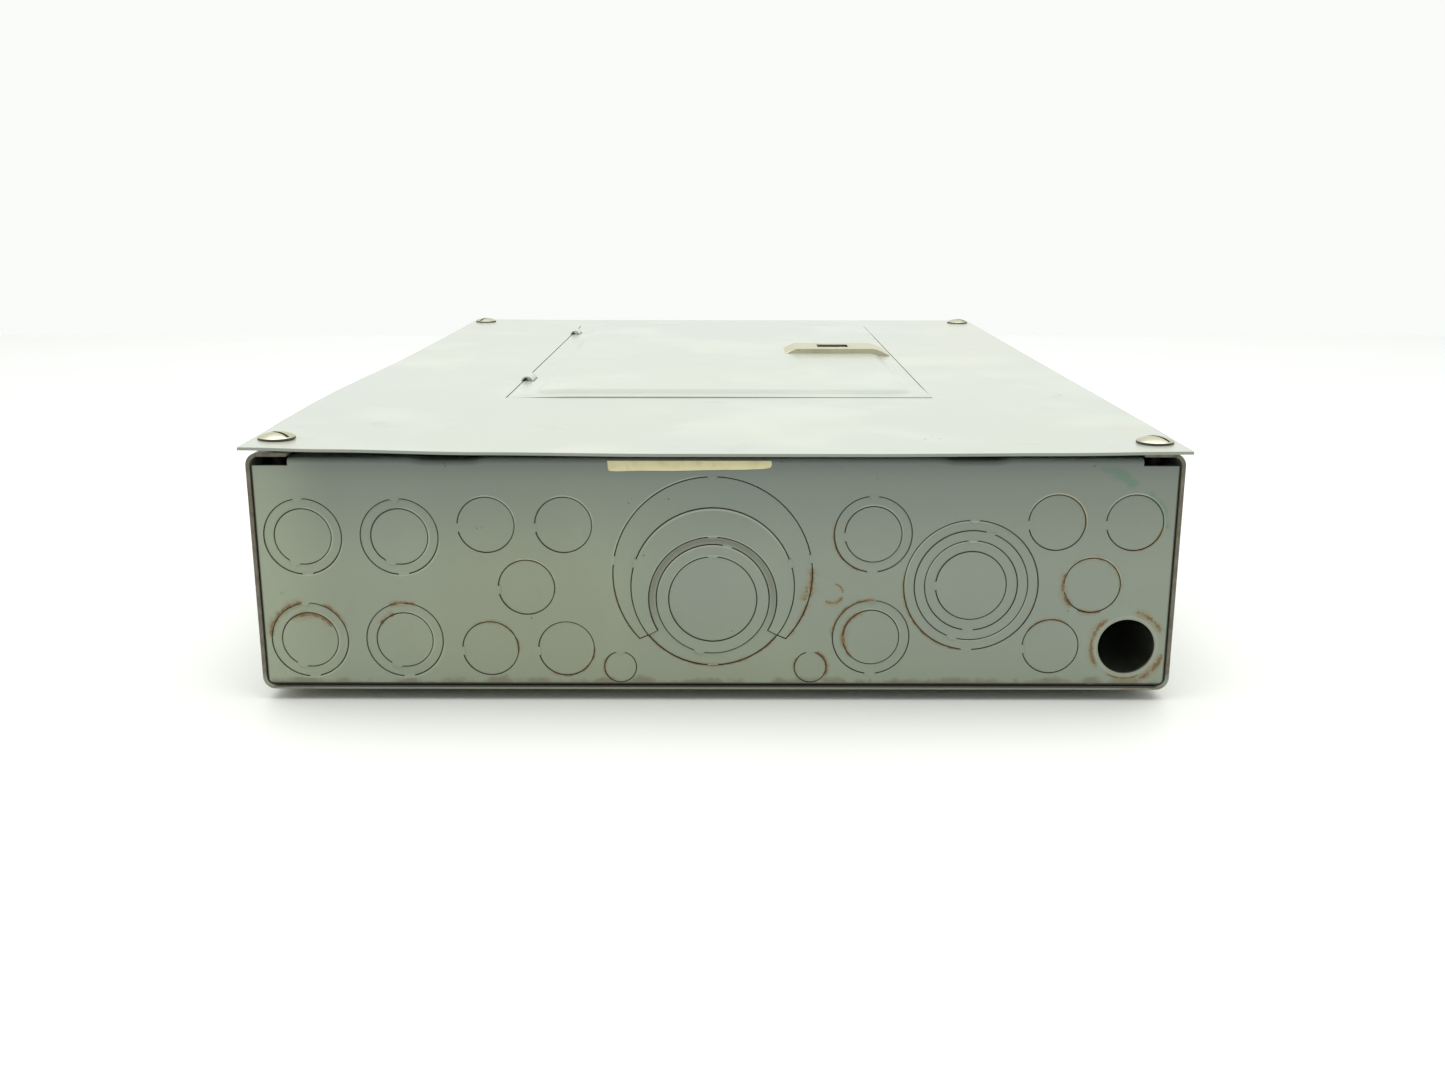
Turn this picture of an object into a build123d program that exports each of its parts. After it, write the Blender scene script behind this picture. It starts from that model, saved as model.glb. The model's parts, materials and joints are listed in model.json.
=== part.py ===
"""Residential load center, lying on its back with the front cover up.

Frame: +X across the box towards the latch, +Y along the box from the lower
end wall to the upper one, +Z out through the cover. The origin is the centre
of the footprint, on the plane that the four mounting bosses stand on.
"""
from build123d import *
import math
import os

# ---------------------------------------------------------------- enclosure
BOX_W = 362.0
BOX_L = 531.4
BOX_D = 96.0
BOX_T = 1.5
BEND_R = 5.0
FLANGE_W = 16.0
BOSS_H = 4.5
BOSS_R = (15.0, 10.0)
MOUNT_SPACING = (254.0, 406.4)
MOUNT_HOLE_R = 3.2
WALL_GAP = 0.6
WALL_FLANGE = 12.0

Z_BACK = BOSS_H + BOX_T
Z_COVER = BOSS_H + BOX_D
Y_NEAR = -BOX_L / 2

# --------------------------------------------------------------- knockouts
SLIT = 0.5
WEB = 3.6
WIDE_WEB = 6.0
KO_HALF_INCH = 22.2
KO_OPEN = 22.4
KO_THREE_QUARTER = 30.4
KO_GROUND = 12.7
KO_SERVICE = (27.7, 36.5, 44.5, 52.8)
FIVE_DX, FIVE_DZ = 15.1, 25.25
FIVE_CENTRES = ((-74.3, 46.7), (148.0, 47.8))
DOUBLE_LEFT_X = (-161.0, -123.3)
DOUBLE_LEFT_Z = (25.0, 67.2)
DOUBLE_RIGHT_X = 61.6
DOUBLE_RIGHT_Z = (26.3, 68.3)
GROUND_X, GROUND_Z = 37.8, 13.8
SERVICE_X, SERVICE_Z = 100.5, 47.6
MAIN_X = -1.0

# ---------------------------------------------------------- cover and door
COVER_T = 1.2
COVER_OVERHANG = 2.0
SCREW_X = 173.5
SCREW_INSET = 17.0
SCREW_HEAD_R = 7.3
SCREW_R = 2.5
OPEN_X = (-101.5, 102.6)
OPEN_Y = (Y_NEAR + 137.0, Y_NEAR + 492.0)
DOOR_T = 1.0
DOOR_GAP = 0.6
PANEL_X = (-89.5, 94.5)
PANEL_Y = (Y_NEAR + 149.0, Y_NEAR + 480.0)
PANEL_RISE = 1.6
PANEL_BEVEL = 5.0
Z_TOP = Z_COVER + COVER_T
Z_PANEL = Z_TOP + PANEL_RISE

# door hinge: straps of the cover curl over a strip of the door's own edge
HINGE_X = -99.2
HINGE_Z = Z_TOP - DOOR_T / 2
STRIP_HALF = 1.7
STRAP_R = 2.3
STRAP_T = 0.8
STRAP_L = 16.0
HINGE_YS = (Y_NEAR + 203.0, Y_NEAR + 438.0)
SLOT_END_X = -95.6

# door latch
LATCH_Y = Y_NEAR + 323.0
LATCH_W = 31.0
LATCH_X = (39.0, 45.5, 91.5, 100.8)
LATCH_H = 2.8
LATCH_T = 0.9
WINDOW_X = (58.6, 77.0)
WINDOW_W = 14.0
SLIDE_W = 28.0
SLIDE_T = 1.0
TONGUE_END = 105.5

# --------------------------------------------------------------- deadfront
DEAD_X = (-106.0, 106.0)
DEAD_Y = (OPEN_Y[0] + 3.0, OPEN_Y[1] - 3.0)
DEAD_T = 1.0
DEAD_RIM = 11.0
Z_DEAD = 82.0

# ---------------------------------------------------------------- interior
ROWS = 10
BREAKER_ROWS = 6
PITCH = 25.4
ROWS_Y = (Y_NEAR + 231.0, Y_NEAR + 231.0 + ROWS * PITCH)
PAN_X = 84.0
PAN_T = 1.2
PAN_FOOT = 12.0
Z_PAN = 15.2
Z_BASE = 22.0
BUS_T = 3.0
BUS_X = (14.0, 26.0)
STAB_X = 8.0
Z_STAB = 40.0
BODY_X = (2.0, 78.0)
BODY_HALF_W = 12.4
Z_BODY = 27.5
Z_SHOULDER = Z_DEAD - DEAD_T - 0.3
Z_NOSE = Z_DEAD + 1.0
NOSE_X = (25.0, 59.0)
HANDLE_X = 42.0
HANDLE_Z = 76.0
HANDLE_R = 8.5
HANDLE_TIP = 17.3
HANDLE_OFF = 17.0
CLEAR = 0.3
MAIN_Y = (Y_NEAR + 144.0, Y_NEAR + 228.0)
MAIN_HALF_W = 38.0
MAIN_HANDLE_Y = Y_NEAR + 187.0
MAIN_HANDLE_Z = 74.0
MAIN_HANDLE_R = 11.0
MAIN_HANDLE_TIP = 19.0
MAIN_HANDLE_OFF = 18.0
MAIN_LUG_X = 19.0
BAR_W = 10.0
BAR_H = 12.0
TERMINAL_PITCH = 10.0
TERMINAL_R = 2.0
NEUTRAL_X = -114.0
NEUTRAL_Y = (Y_NEAR + 250.0, Y_NEAR + 460.0)
NEUTRAL_Z = 22.0
GROUND_BAR_X = 130.0
GROUND_BAR_Y = (Y_NEAR + 300.0, Y_NEAR + 420.0)
GROUND_BAR_Z = 12.0


def slab(x0, x1, y0, y1, z0, z1):
    """A block between two corners."""
    centre = Pos((x0 + x1) / 2, (y0 + y1) / 2, (z0 + z1) / 2)
    return centre * Box(abs(x1 - x0), abs(y1 - y0), abs(z1 - z0))


def rod_x(x0, x1, y, z, r):
    return Pos((x0 + x1) / 2, y, z) * Rot(0, 90, 0) * Cylinder(r, x1 - x0)


def rod_y(x, y0, y1, z, r):
    return Pos(x, (y0 + y1) / 2, z) * Rot(90, 0, 0) * Cylinder(r, y1 - y0)


def rod_z(x, y, z0, z1, r):
    return Pos(x, y, (z0 + z1) / 2) * Cylinder(r, z1 - z0)


def mirrored(shape):
    """The same shape on the other side of the centre line."""
    return mirror(shape, about=Plane.YZ)


# ---------------------------------------------------------------- knockouts
def ring_slit(x, z, diameter, webs, web=WEB):
    """The cut round one knockout, left uncut at each web angle."""
    radius = diameter / 2
    ring = Circle(radius + SLIT / 2) - Circle(radius - SLIT / 2)
    for angle in webs:
        ring -= Rot(0, 0, angle) * Pos(radius, 0) * Rectangle(4 * SLIT, web)
    return Pos(x, z) * ring


def arc_slit(x, z, radius, low_angle, webs):
    """A cut over the top only, from low_angle on one side to the other."""
    ring = ring_slit(0, 0, 2 * radius, webs)
    a = math.radians(low_angle)
    reach = 2 * radius
    side = (reach * math.cos(a), reach * math.sin(a))
    below = Polygon((0, 0), side, (reach, -reach), (-reach, -reach), (-side[0], side[1]), align=None)
    return Pos(x, z) * (ring - below)


def step_slit(start, end):
    """A short straight cut joining two round ones."""
    dx, dz = end[0] - start[0], end[1] - start[1]
    middle = Pos((start[0] + end[0]) / 2, (start[1] + end[1]) / 2)
    return middle * Rot(0, 0, math.degrees(math.atan2(dz, dx))) * Rectangle(math.hypot(dx, dz), SLIT)


def main_knockout():
    """The large service knockout in the middle: eccentric rings that share a low side."""
    z1, z4, z5 = 41.9, 46.7, 52.0
    cuts = [
        ring_slit(MAIN_X, z1, 34.8, (90,)),
        ring_slit(MAIN_X, z1, 44.5, (55, 235)),
        arc_slit(MAIN_X, z1, 25.3, -30.6, (90,)),
        ring_slit(MAIN_X, z4, 64.3, (0, 180, 270)),
        arc_slit(MAIN_X, z5, 39.2, -42.3, (90, 5, 175)),
    ]
    for side in (1, -1):
        cuts.append(step_slit((MAIN_X + side * 21.8, 29.0), (MAIN_X + side * 25.6, 26.8)))
        cuts.append(step_slit((MAIN_X + side * 29.0, 25.6), (MAIN_X + side * 26.0, 26.9)))
    return cuts


def end_knockouts(opened):
    """All the cuts in one end wall; the open one is a plain hole instead."""
    cuts = main_knockout()
    for x in DOUBLE_LEFT_X:
        for z in DOUBLE_LEFT_Z:
            cuts.append(ring_slit(x, z, KO_THREE_QUARTER, (90, 270)))
            cuts.append(ring_slit(x, z, KO_HALF_INCH, (215,)))
    for z in DOUBLE_RIGHT_Z:
        cuts.append(ring_slit(DOUBLE_RIGHT_X, z, KO_THREE_QUARTER, (90, 270)))
        cuts.append(ring_slit(DOUBLE_RIGHT_X, z, KO_HALF_INCH, (180,)))
    for number, (cx, cz) in enumerate(FIVE_CENTRES):
        for dx, dz in ((-1, 1), (1, 1), (0, 0), (-1, -1), (1, -1)):
            is_open = opened and number == 1 and (dx, dz) == (1, -1)
            if is_open:
                cuts.append(Pos(cx + FIVE_DX, cz - FIVE_DZ) * Circle(KO_OPEN / 2))
            else:
                cuts.append(ring_slit(cx + dx * FIVE_DX, cz + dz * FIVE_DZ, KO_HALF_INCH, (185,), WIDE_WEB))
    for side in (-1, 1):
        cuts.append(ring_slit(side * GROUND_X, GROUND_Z, KO_GROUND, (90,)))
    for diameter, webs in zip(KO_SERVICE, ((180,), (90, 270), (45, 225), (90, 270))):
        cuts.append(ring_slit(SERVICE_X, SERVICE_Z, diameter, webs))
    return Sketch() + cuts


# ----------------------------------------------------------------- sheet metal
def enclosure_wrap():
    """Back and both sides folded from one sheet, with flanges turned in along the top."""
    middle = Pos(0, BOSS_H + BOX_D / 2)
    outer = middle * RectangleRounded(BOX_W, BOX_D, BEND_R)
    inner = middle * RectangleRounded(BOX_W - 2 * BOX_T, BOX_D - 2 * BOX_T, BEND_R - BOX_T)
    mouth = Pos(0, Z_COVER) * Rectangle(BOX_W - 2 * FLANGE_W, 4 * BOX_T)
    wrap = Rot(90, 0, 0) * extrude(outer - inner - mouth, BOX_L / 2, both=True)
    for sx in (-1, 1):
        for sy in (-1, 1):
            wrap = add_boss(wrap, sx * MOUNT_SPACING[0] / 2, sy * MOUNT_SPACING[1] / 2)
            y_screw = sy * (BOX_L / 2 - SCREW_INSET)
            wrap -= rod_z(sx * SCREW_X, y_screw, Z_COVER - 2 * BOX_T, Z_COVER + 1, SCREW_R + 0.05)
            foot_x = sx * (PAN_X + PAN_FOOT / 2)
            wrap -= rod_z(foot_x, pan_screw_y(sy), 0, Z_BACK + 1, SCREW_R - 0.45)
    return wrap - side_knockouts()


def add_boss(sheet, x, y):
    """A round boss pressed out of the back, with a screw hole in it."""
    wide, narrow = BOSS_R
    shell = Pos(x, y, BOSS_H / 2) * Cone(narrow, wide, BOSS_H)
    hollow = Pos(x, y, BOX_T + BOSS_H / 2) * Cone(narrow - 1, wide - 1, BOSS_H)
    return sheet + shell - hollow - rod_z(x, y, -1, Z_BACK + 1, MOUNT_HOLE_R)


def side_knockouts():
    """Three half-inch knockouts in each side wall near each end."""
    rings = Sketch()
    for end in (-1, 1):
        for k in range(3):
            rings += ring_slit(end * (BOX_L / 2 - 45 - 38 * k), 47.0, KO_HALF_INCH, (180,), WIDE_WEB)
    return Rot(0, 0, 90) * Rot(90, 0, 0) * extrude(rings, BOX_W, both=True)


def end_wall(near):
    """One end wall, set just inside the wrap, its top edge rolled in to a flange."""
    half = BOX_W / 2 - BOX_T - WALL_GAP
    low, high = Z_BACK + WALL_GAP, Z_COVER - BOX_T - 0.5
    height = high - low
    face = Pos(0, (low + high) / 2) * RectangleRounded(2 * half, height, BEND_R - BOX_T - WALL_GAP)
    plate = Rot(90, 0, 0) * extrude(face, BOX_T)
    plate += slab(-half, half, -BOX_T, 0, high - 10, high)
    plate += slab(-half, half, 0, WALL_FLANGE, high - BOX_T, high)
    for side in (-1, 1):
        plate -= slab(side * (half - 14), side * (half + 1), -2 * BOX_T, WALL_FLANGE + 1, high - 3, high + 1)
    outer_edge = plate.edges().filter_by(Axis.X).group_by(Axis.Y)[0].sort_by(Axis.Z)[-1]
    plate = fillet(outer_edge, BOX_T * 0.9)
    plate -= Rot(90, 0, 0) * extrude(end_knockouts(near), 3 * BOX_T, both=True)
    plate = Pos(0, Y_NEAR + BOX_T + 0.3, 0) * plate
    if near:
        return plate
    return Rot(0, 0, 180) * plate


def screw_hole_posts(radius, z0, z1):
    """A rod at each cover screw."""
    return [
        rod_z(sx * SCREW_X, sy * (BOX_L / 2 - SCREW_INSET), z0, z1, radius)
        for sx in (-1, 1)
        for sy in (-1, 1)
    ]


def cover():
    """Flat front sheet with the door opening and the two hinge straps."""
    half_x = BOX_W / 2 + COVER_OVERHANG
    half_y = BOX_L / 2 + COVER_OVERHANG
    sheet = slab(-half_x, half_x, -half_y, half_y, Z_COVER, Z_TOP)
    sheet -= slab(*OPEN_X, *OPEN_Y, Z_COVER - 1, Z_TOP + 1)
    for post in screw_hole_posts(SCREW_R + 0.6, Z_COVER - 1, Z_TOP + 1):
        sheet -= post
    for y in HINGE_YS:
        sheet += hinge_strap(y)
    return sheet


def hinge_strap(y):
    """A strip curled up from the cover's edge, over the door's edge and down through its slot."""
    ring = Circle(STRAP_R + STRAP_T) - Circle(STRAP_R)
    tail = math.radians(-35)
    root = math.radians(188)
    reach = 4 * STRAP_R
    gap = Polygon(
        (0, 0),
        (reach * math.cos(root), reach * math.sin(root)),
        (-reach, -reach),
        (reach, -reach),
        (reach * math.cos(tail), reach * math.sin(tail)),
        align=None,
    )
    arc = Pos(HINGE_X, HINGE_Z) * (ring - gap)
    return Pos(0, y, 0) * Rot(90, 0, 0) * extrude(arc, STRAP_L / 2, both=True)


def frustum(z, grow=0.0):
    """The door's raised field as a solid that starts at height z."""
    x0, x1 = PANEL_X[0] - grow, PANEL_X[1] + grow
    y0, y1 = PANEL_Y[0] - grow, PANEL_Y[1] + grow
    centre = Pos((x0 + x1) / 2, (y0 + y1) / 2, z)
    foot = centre * RectangleRounded(x1 - x0, y1 - y0, 4)
    raised = Pos(0, 0, PANEL_RISE) * centre * RectangleRounded(
        x1 - x0 - 2 * PANEL_BEVEL, y1 - y0 - 2 * PANEL_BEVEL, 2
    )
    return loft([foot, raised])


def door():
    """Pressed sheet with a raised field; the strips beside its slots are the hinge pins."""
    x0, x1 = HINGE_X - STRIP_HALF, OPEN_X[1] - DOOR_GAP
    y0, y1 = OPEN_Y[0] + DOOR_GAP, OPEN_Y[1] - DOOR_GAP
    sheet = slab(x0, x1, y0, y1, Z_TOP - DOOR_T, Z_TOP) + frustum(Z_TOP) - frustum(Z_TOP - DOOR_T)
    for y in HINGE_YS:
        reach = STRAP_L / 2 + 0.6
        sheet -= slab(HINGE_X + STRIP_HALF, SLOT_END_X, y - reach, y + reach, Z_TOP - 2, Z_TOP + 1)
    tab_slot = WINDOW_W / 2 - 1.2
    sheet -= slab(WINDOW_X[0], WINDOW_X[1], LATCH_Y - tab_slot, LATCH_Y + tab_slot, Z_TOP, Z_PANEL + 1)
    return sheet


def latch_profile(inset):
    """Side view of the latch cover: ramp, flat top, and a nose that follows the door's bevel down."""
    a, b, c, d = LATCH_X
    foot = Z_TOP + 0.05
    points = [
        (a + 3 * inset, Z_PANEL - inset),
        (b + inset / 2, Z_PANEL + LATCH_H - inset),
        (c - inset / 2, Z_PANEL + LATCH_H - inset),
        (d - 2 * inset, foot + 0.9 - inset),
        (d - 2 * inset, foot - inset),
        (PANEL_X[1] + 0.7, foot - inset),
        (PANEL_X[1] - PANEL_BEVEL + 0.7, Z_PANEL - inset),
    ]
    return Polygon(*points, align=None)


def latch_cover():
    """Pressed cover on the door with the finger window; open underneath."""
    shell = extrude(latch_profile(0), LATCH_W / 2, both=True)
    hollow = extrude(latch_profile(LATCH_T), LATCH_W / 2 - LATCH_T, both=True)
    plate = Pos(0, LATCH_Y, 0) * Rot(90, 0, 0) * (shell - hollow)
    half = WINDOW_W / 2
    return plate - slab(*WINDOW_X, LATCH_Y - half, LATCH_Y + half, Z_PANEL, Z_PANEL + 2 * LATCH_H)


def latch_slide():
    """Sliding bolt under the door: finger tab up through the window, tongue out under the cover."""
    half = SLIDE_W / 2
    z_high = Z_PANEL - DOOR_T - 0.1
    z_low = Z_COVER - 0.1
    bolt = slab(50, 86, LATCH_Y - half, LATCH_Y + half, z_high - SLIDE_T, z_high)
    bolt += slab(85, 86, LATCH_Y - half, LATCH_Y + half, z_low - SLIDE_T, z_high)
    bolt += slab(85, TONGUE_END, LATCH_Y - half / 2, LATCH_Y + half / 2, z_low - SLIDE_T, z_low)
    bolt += slab(72, 76, LATCH_Y - 5, LATCH_Y + 5, z_high, Z_PANEL + LATCH_H - 1.0)
    return bolt


def latch_guide():
    """Bridge spot-welded under the door that holds the sliding bolt up."""
    half = SLIDE_W / 2 + 1
    z_bolt = Z_PANEL - DOOR_T - 0.1 - SLIDE_T
    bridge = slab(52, 62, LATCH_Y - half - 5, LATCH_Y + half + 5, z_bolt - 1.0, z_bolt - 0.2)
    for side in (-1, 1):
        bridge += slab(52, 62, LATCH_Y + side * half, LATCH_Y + side * (half + 5), z_bolt - 1.0, Z_PANEL - DOOR_T)
    return bridge


def circuit_directory():
    """Blank card on the inside of the door."""
    return slab(-78, 30, PANEL_Y[0] + 30, PANEL_Y[1] - 30, Z_PANEL - DOOR_T - 0.2, Z_PANEL - DOOR_T)


def cover_screws():
    """Four domed slotted screws through the cover into the wrap's flanges."""
    screws = []
    for sx in (-1, 1):
        for sy in (-1, 1):
            head = Pos(0, 0, -9.6) * Sphere(12.1) & rod_z(0, 0, 0, 4, SCREW_HEAD_R)
            angle = 35 if sx < 0 else -40
            slot = Rot(0, 0, angle) * slab(-9, 9, -0.75, 0.75, 1.0, 5)
            shank = rod_z(0, 0, -12, 0, SCREW_R)
            place = Pos(sx * SCREW_X, sy * (BOX_L / 2 - SCREW_INSET), Z_TOP)
            screws.append(place * (head - slot + shank))
    return screws


def deadfront():
    """Recessed inner front: rim under the cover, four walls, floor with the breaker openings.

    The rim is notched at the hinge corners, where the door's edge strip swings down.
    """
    x0, x1 = DEAD_X
    y0, y1 = DEAD_Y
    floor = Z_DEAD - DEAD_T
    tray = slab(x0 - DEAD_T, x1 + DEAD_T, y0 - DEAD_T, y1 + DEAD_T, floor, Z_COVER)
    tray += slab(
        x0 - DEAD_RIM, x1 + DEAD_RIM, y0 - DEAD_RIM, y1 + DEAD_RIM, Z_COVER - DEAD_T, Z_COVER
    )
    tray -= slab(x0, x1, y0, y1, Z_DEAD, Z_COVER + 1)
    for side in (-1, 1):
        tray -= slab(
            side * (NOSE_X[0] - 0.5), side * (NOSE_X[1] + 0.5), *ROWS_Y, floor - 1, Z_DEAD + 1
        )
    for y in DEAD_Y:
        tray -= slab(HINGE_X - 3, HINGE_X + 3, y - 4, y + 4, Z_COVER - 1.6, Z_COVER + 1)
    nose_x, nose_y = main_nose(0.6)
    return tray - slab(*nose_x, *nose_y, floor - 1, Z_DEAD + 1)


def row_y(row):
    """Centre of a breaker row, counted from the upper end."""
    return ROWS_Y[1] - PITCH * (row + 0.5)


def filler_plates():
    """Snap-in plates over the unused breaker rows."""
    plates = []
    for row in range(BREAKER_ROWS, ROWS):
        y = row_y(row)
        plate = slab(NOSE_X[0] - 1.5, NOSE_X[1] + 1.5, y - 12.5, y + 12.5, Z_DEAD, Z_DEAD + 1.2)
        plate += slab(NOSE_X[0], NOSE_X[0] + 1.5, y - 6, y + 6, Z_DEAD - 4, Z_DEAD)
        plate += slab(NOSE_X[1] - 1.5, NOSE_X[1], y - 6, y + 6, Z_DEAD - 4, Z_DEAD)
        plates += [plate, mirrored(plate)]
    return plates


# ------------------------------------------------------------------- interior
def pan_screw_y(side):
    return side * 140 + 55


def interior_pan():
    """Steel channel on the back that carries the breakers, with a hook rail down each side."""
    y0, y1 = MAIN_Y[0], ROWS_Y[1] + 3
    pan = slab(-PAN_X, PAN_X, y0, y1, Z_PAN - PAN_T, Z_PAN)
    for side in (-1, 1):
        pan += slab(side * (PAN_X - PAN_T), side * PAN_X, y0, y1, Z_BACK, Z_PAN)
        pan += slab(side * PAN_X, side * (PAN_X + PAN_FOOT), y0, y1, Z_BACK, Z_BACK + PAN_T)
        pan += slab(side * 73, side * 74.2, *ROWS_Y, Z_PAN, Z_BODY + 4)
        for end in (-1, 1):
            pan -= rod_z(side * (PAN_X + PAN_FOOT / 2), pan_screw_y(end), Z_BACK - 1, Z_BACK + 3, 2.2)
    return pan


def pan_screws():
    """Four screws that hold the interior pan to the back."""
    screws = []
    for side in (-1, 1):
        for end in (-1, 1):
            x, y = side * (PAN_X + PAN_FOOT / 2), pan_screw_y(end)
            head_z = Z_BACK + PAN_T
            screw = rod_z(x, y, head_z, head_z + 3, 4) + rod_z(x, y, BOSS_H, head_z, 2.0)
            screws.append(screw - slab(x - 5, x + 5, y - 0.6, y + 0.6, head_z + 1.8, head_z + 4))
    return screws


def insulator_base():
    """Moulded base between the pan and the live bars."""
    base = slab(-70, 70, MAIN_Y[0] + 2, ROWS_Y[1], Z_PAN, Z_BASE)
    for side in (-1, 1):
        base += slab(side * 20, side * 36, MAIN_Y[0] + 4, MAIN_Y[0] + 20, Z_BASE, Z_BASE + BUS_T)
    base -= slab(-10, 10, ROWS_Y[0] + 4, ROWS_Y[1] - 4, Z_BASE - 2, Z_BASE + 1)
    return base


def bus_bar(side):
    """Plated bar down one side with an arm and a stab blade on every other row."""
    inner, outer = BUS_X
    bar = slab(side * inner, side * outer, MAIN_Y[1] - 23, ROWS_Y[1] - 4, Z_BASE, Z_BASE + BUS_T)
    first = 0 if side < 0 else 1
    for row in range(first, ROWS, 2):
        y = row_y(row)
        bar += slab(-side * STAB_X, side * inner, y - 6, y + 6, Z_BASE, Z_BASE + BUS_T)
        bar += slab(-STAB_X, STAB_X, y - 1, y + 1, Z_BASE + BUS_T, Z_STAB)
    return bar


def breaker_body(row, side):
    """One plug-in breaker: jaw slot at the inner end, hook notch and terminal step at the outer."""
    x0, x1 = BODY_X
    half = BODY_HALF_W
    body = slab(x0, x1, -half, half, Z_BODY, Z_SHOULDER)
    body += slab(*NOSE_X, 0.2 - half, half - 0.2, Z_SHOULDER, Z_NOSE)
    body -= slab(x0 - 1, STAB_X + 1, -1.3, 1.3, Z_BODY - 1, Z_STAB + 1)
    body -= slab(72.4, 74.8, -half - 1, half + 1, Z_BODY - 1, Z_BODY + 5)
    body -= slab(66, x1 + 1, -half - 1, half + 1, 64, Z_SHOULDER + 1)
    body -= rod_z(71.5, 0, 50, 65, 3.2)
    body -= rod_x(68, x1 + 1, 0, 46, 3.0)
    body -= rod_y(HANDLE_X, -4 - CLEAR, 4 + CLEAR, HANDLE_Z, HANDLE_R + CLEAR)
    for edge_x in (x0 + 9, 64):
        body -= slab(edge_x, edge_x + 1.2, -half - 1, 0.4 - half, Z_BODY + 8, Z_SHOULDER - 4)
    body = Pos(0, row_y(row), 0) * body
    return body if side > 0 else mirrored(body)


def breaker_handle(row, side):
    """Toggle: a drum with a lever, drawn off, leaning away from the centre line."""
    drum = rod_y(0, -4, 4, 0, HANDLE_R)
    lever = Polygon((-3.4, 0), (-2.2, HANDLE_TIP), (2.2, HANDLE_TIP), (3.4, 0), align=None)
    handle = drum + Rot(90, 0, 0) * extrude(lever, 3.6, both=True)
    handle = Pos(HANDLE_X, row_y(row), HANDLE_Z) * Rot(0, HANDLE_OFF, 0) * handle
    return handle if side > 0 else mirrored(handle)


def branch_terminal_screws():
    """The wire-clamping screw of every branch breaker."""
    screws = []
    for row in range(BREAKER_ROWS):
        y = row_y(row)
        screw = rod_z(71.5, y, 52, 61, 2.0) + rod_z(71.5, y, 58, 62, 2.9)
        screw -= slab(67, 76, y - 0.5, y + 0.5, 61, 63)
        screws += [screw, mirrored(screw)]
    return screws


def main_nose(grow):
    """Outline of the raised face round the main breaker's handle, as x and y ranges."""
    return (-18 - grow, 18 + grow), (MAIN_HANDLE_Y - 17 - grow, MAIN_HANDLE_Y + 17 + grow)


def main_breaker_body():
    """Two-pole main breaker with its handle well, jaw slots and lug pockets."""
    y0, y1 = MAIN_Y
    half = MAIN_HALF_W
    nose_x, nose_y = main_nose(0)
    body = slab(-half, half, y0, y1, Z_BASE + BUS_T, Z_SHOULDER)
    body += slab(*nose_x, *nose_y, Z_SHOULDER, Z_NOSE)
    body -= rod_x(-10 - CLEAR, 10 + CLEAR, MAIN_HANDLE_Y, MAIN_HANDLE_Z, MAIN_HANDLE_R + CLEAR)
    body -= slab(-half - 1, half + 1, y0 - 1, y0 + 20, 62, Z_SHOULDER + 1)
    body -= slab(-0.8, 0.8, y0 - 1, nose_y[0] - 4, 40, Z_SHOULDER + 1)
    for side in (-1, 1):
        x = side * MAIN_LUG_X
        body -= slab(x - 11.2, x + 11.2, y0 - 1, y0 + 16, 34, 63)
    return body


def main_breaker_handle():
    """Wide toggle of the main breaker, drawn off, leaning towards the lower end."""
    drum = rod_x(-10, 10, 0, 0, MAIN_HANDLE_R)
    lever = Polygon((-4, 0), (-2.6, MAIN_HANDLE_TIP), (2.6, MAIN_HANDLE_TIP), (4, 0), align=None)
    handle = drum + Rot(0, 0, 90) * Rot(90, 0, 0) * extrude(lever, 9, both=True)
    return Pos(0, MAIN_HANDLE_Y, MAIN_HANDLE_Z) * Rot(MAIN_HANDLE_OFF, 0, 0) * handle


def lug(x, y0, z0):
    """Aluminium wire lug: block, wire bore along Y, screw hole from above."""
    block = slab(x - 11, x + 11, y0, y0 + 15.8, z0, z0 + 24)
    block -= rod_y(x, y0 - 1, y0 + 17, z0 + 9, 6.0)
    return block - rod_z(x, y0 + 8, z0 + 9, z0 + 25, 4.6)


def lug_screw(x, y, z0):
    """Socket-head set screw of a wire lug."""
    screw = rod_z(x, y, z0, z0 + 12, 4.5)
    socket = Pos(x, y, z0 + 12) * extrude(RegularPolygon(2.5, 6), 5, both=True)
    return screw - socket


def main_lugs():
    return [lug(side * MAIN_LUG_X, MAIN_Y[0], 34.1) for side in (-1, 1)]


def main_lug_screws():
    return [lug_screw(side * MAIN_LUG_X, MAIN_Y[0] + 8, 49) for side in (-1, 1)]


def terminal_ys(ys):
    """Terminal centres along a bar."""
    count = int((ys[1] - ys[0] - 16) // TERMINAL_PITCH) + 1
    start = (ys[0] + ys[1] - (count - 1) * TERMINAL_PITCH) / 2
    return [start + k * TERMINAL_PITCH for k in range(count)]


def terminal_bar(x, ys, z):
    """Bar with a row of cross holes for wires and a screw hole over each."""
    bar = slab(x - BAR_W / 2, x + BAR_W / 2, *ys, z, z + BAR_H)
    for y in terminal_ys(ys):
        bar -= rod_x(x - BAR_W, x + BAR_W, y, z + 4.5, 2.6)
        bar -= rod_z(x, y, z + 4.5, z + BAR_H + 1, TERMINAL_R + 0.05)
    return bar


def terminal_screws(x, ys, z):
    """Slotted screws of a terminal bar."""
    screws = []
    for number, y in enumerate(terminal_ys(ys)):
        top = z + BAR_H + 1 + number % 3
        screw = rod_z(x, y, top - 6, top, TERMINAL_R) + rod_z(x, y, top, top + 2.5, 3.4)
        slot = Pos(x, y, 0) * Rot(0, 0, 37 * number) * slab(-4, 4, -0.5, 0.5, top + 1.3, top + 4)
        screws.append(screw - slot)
    return screws


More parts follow.
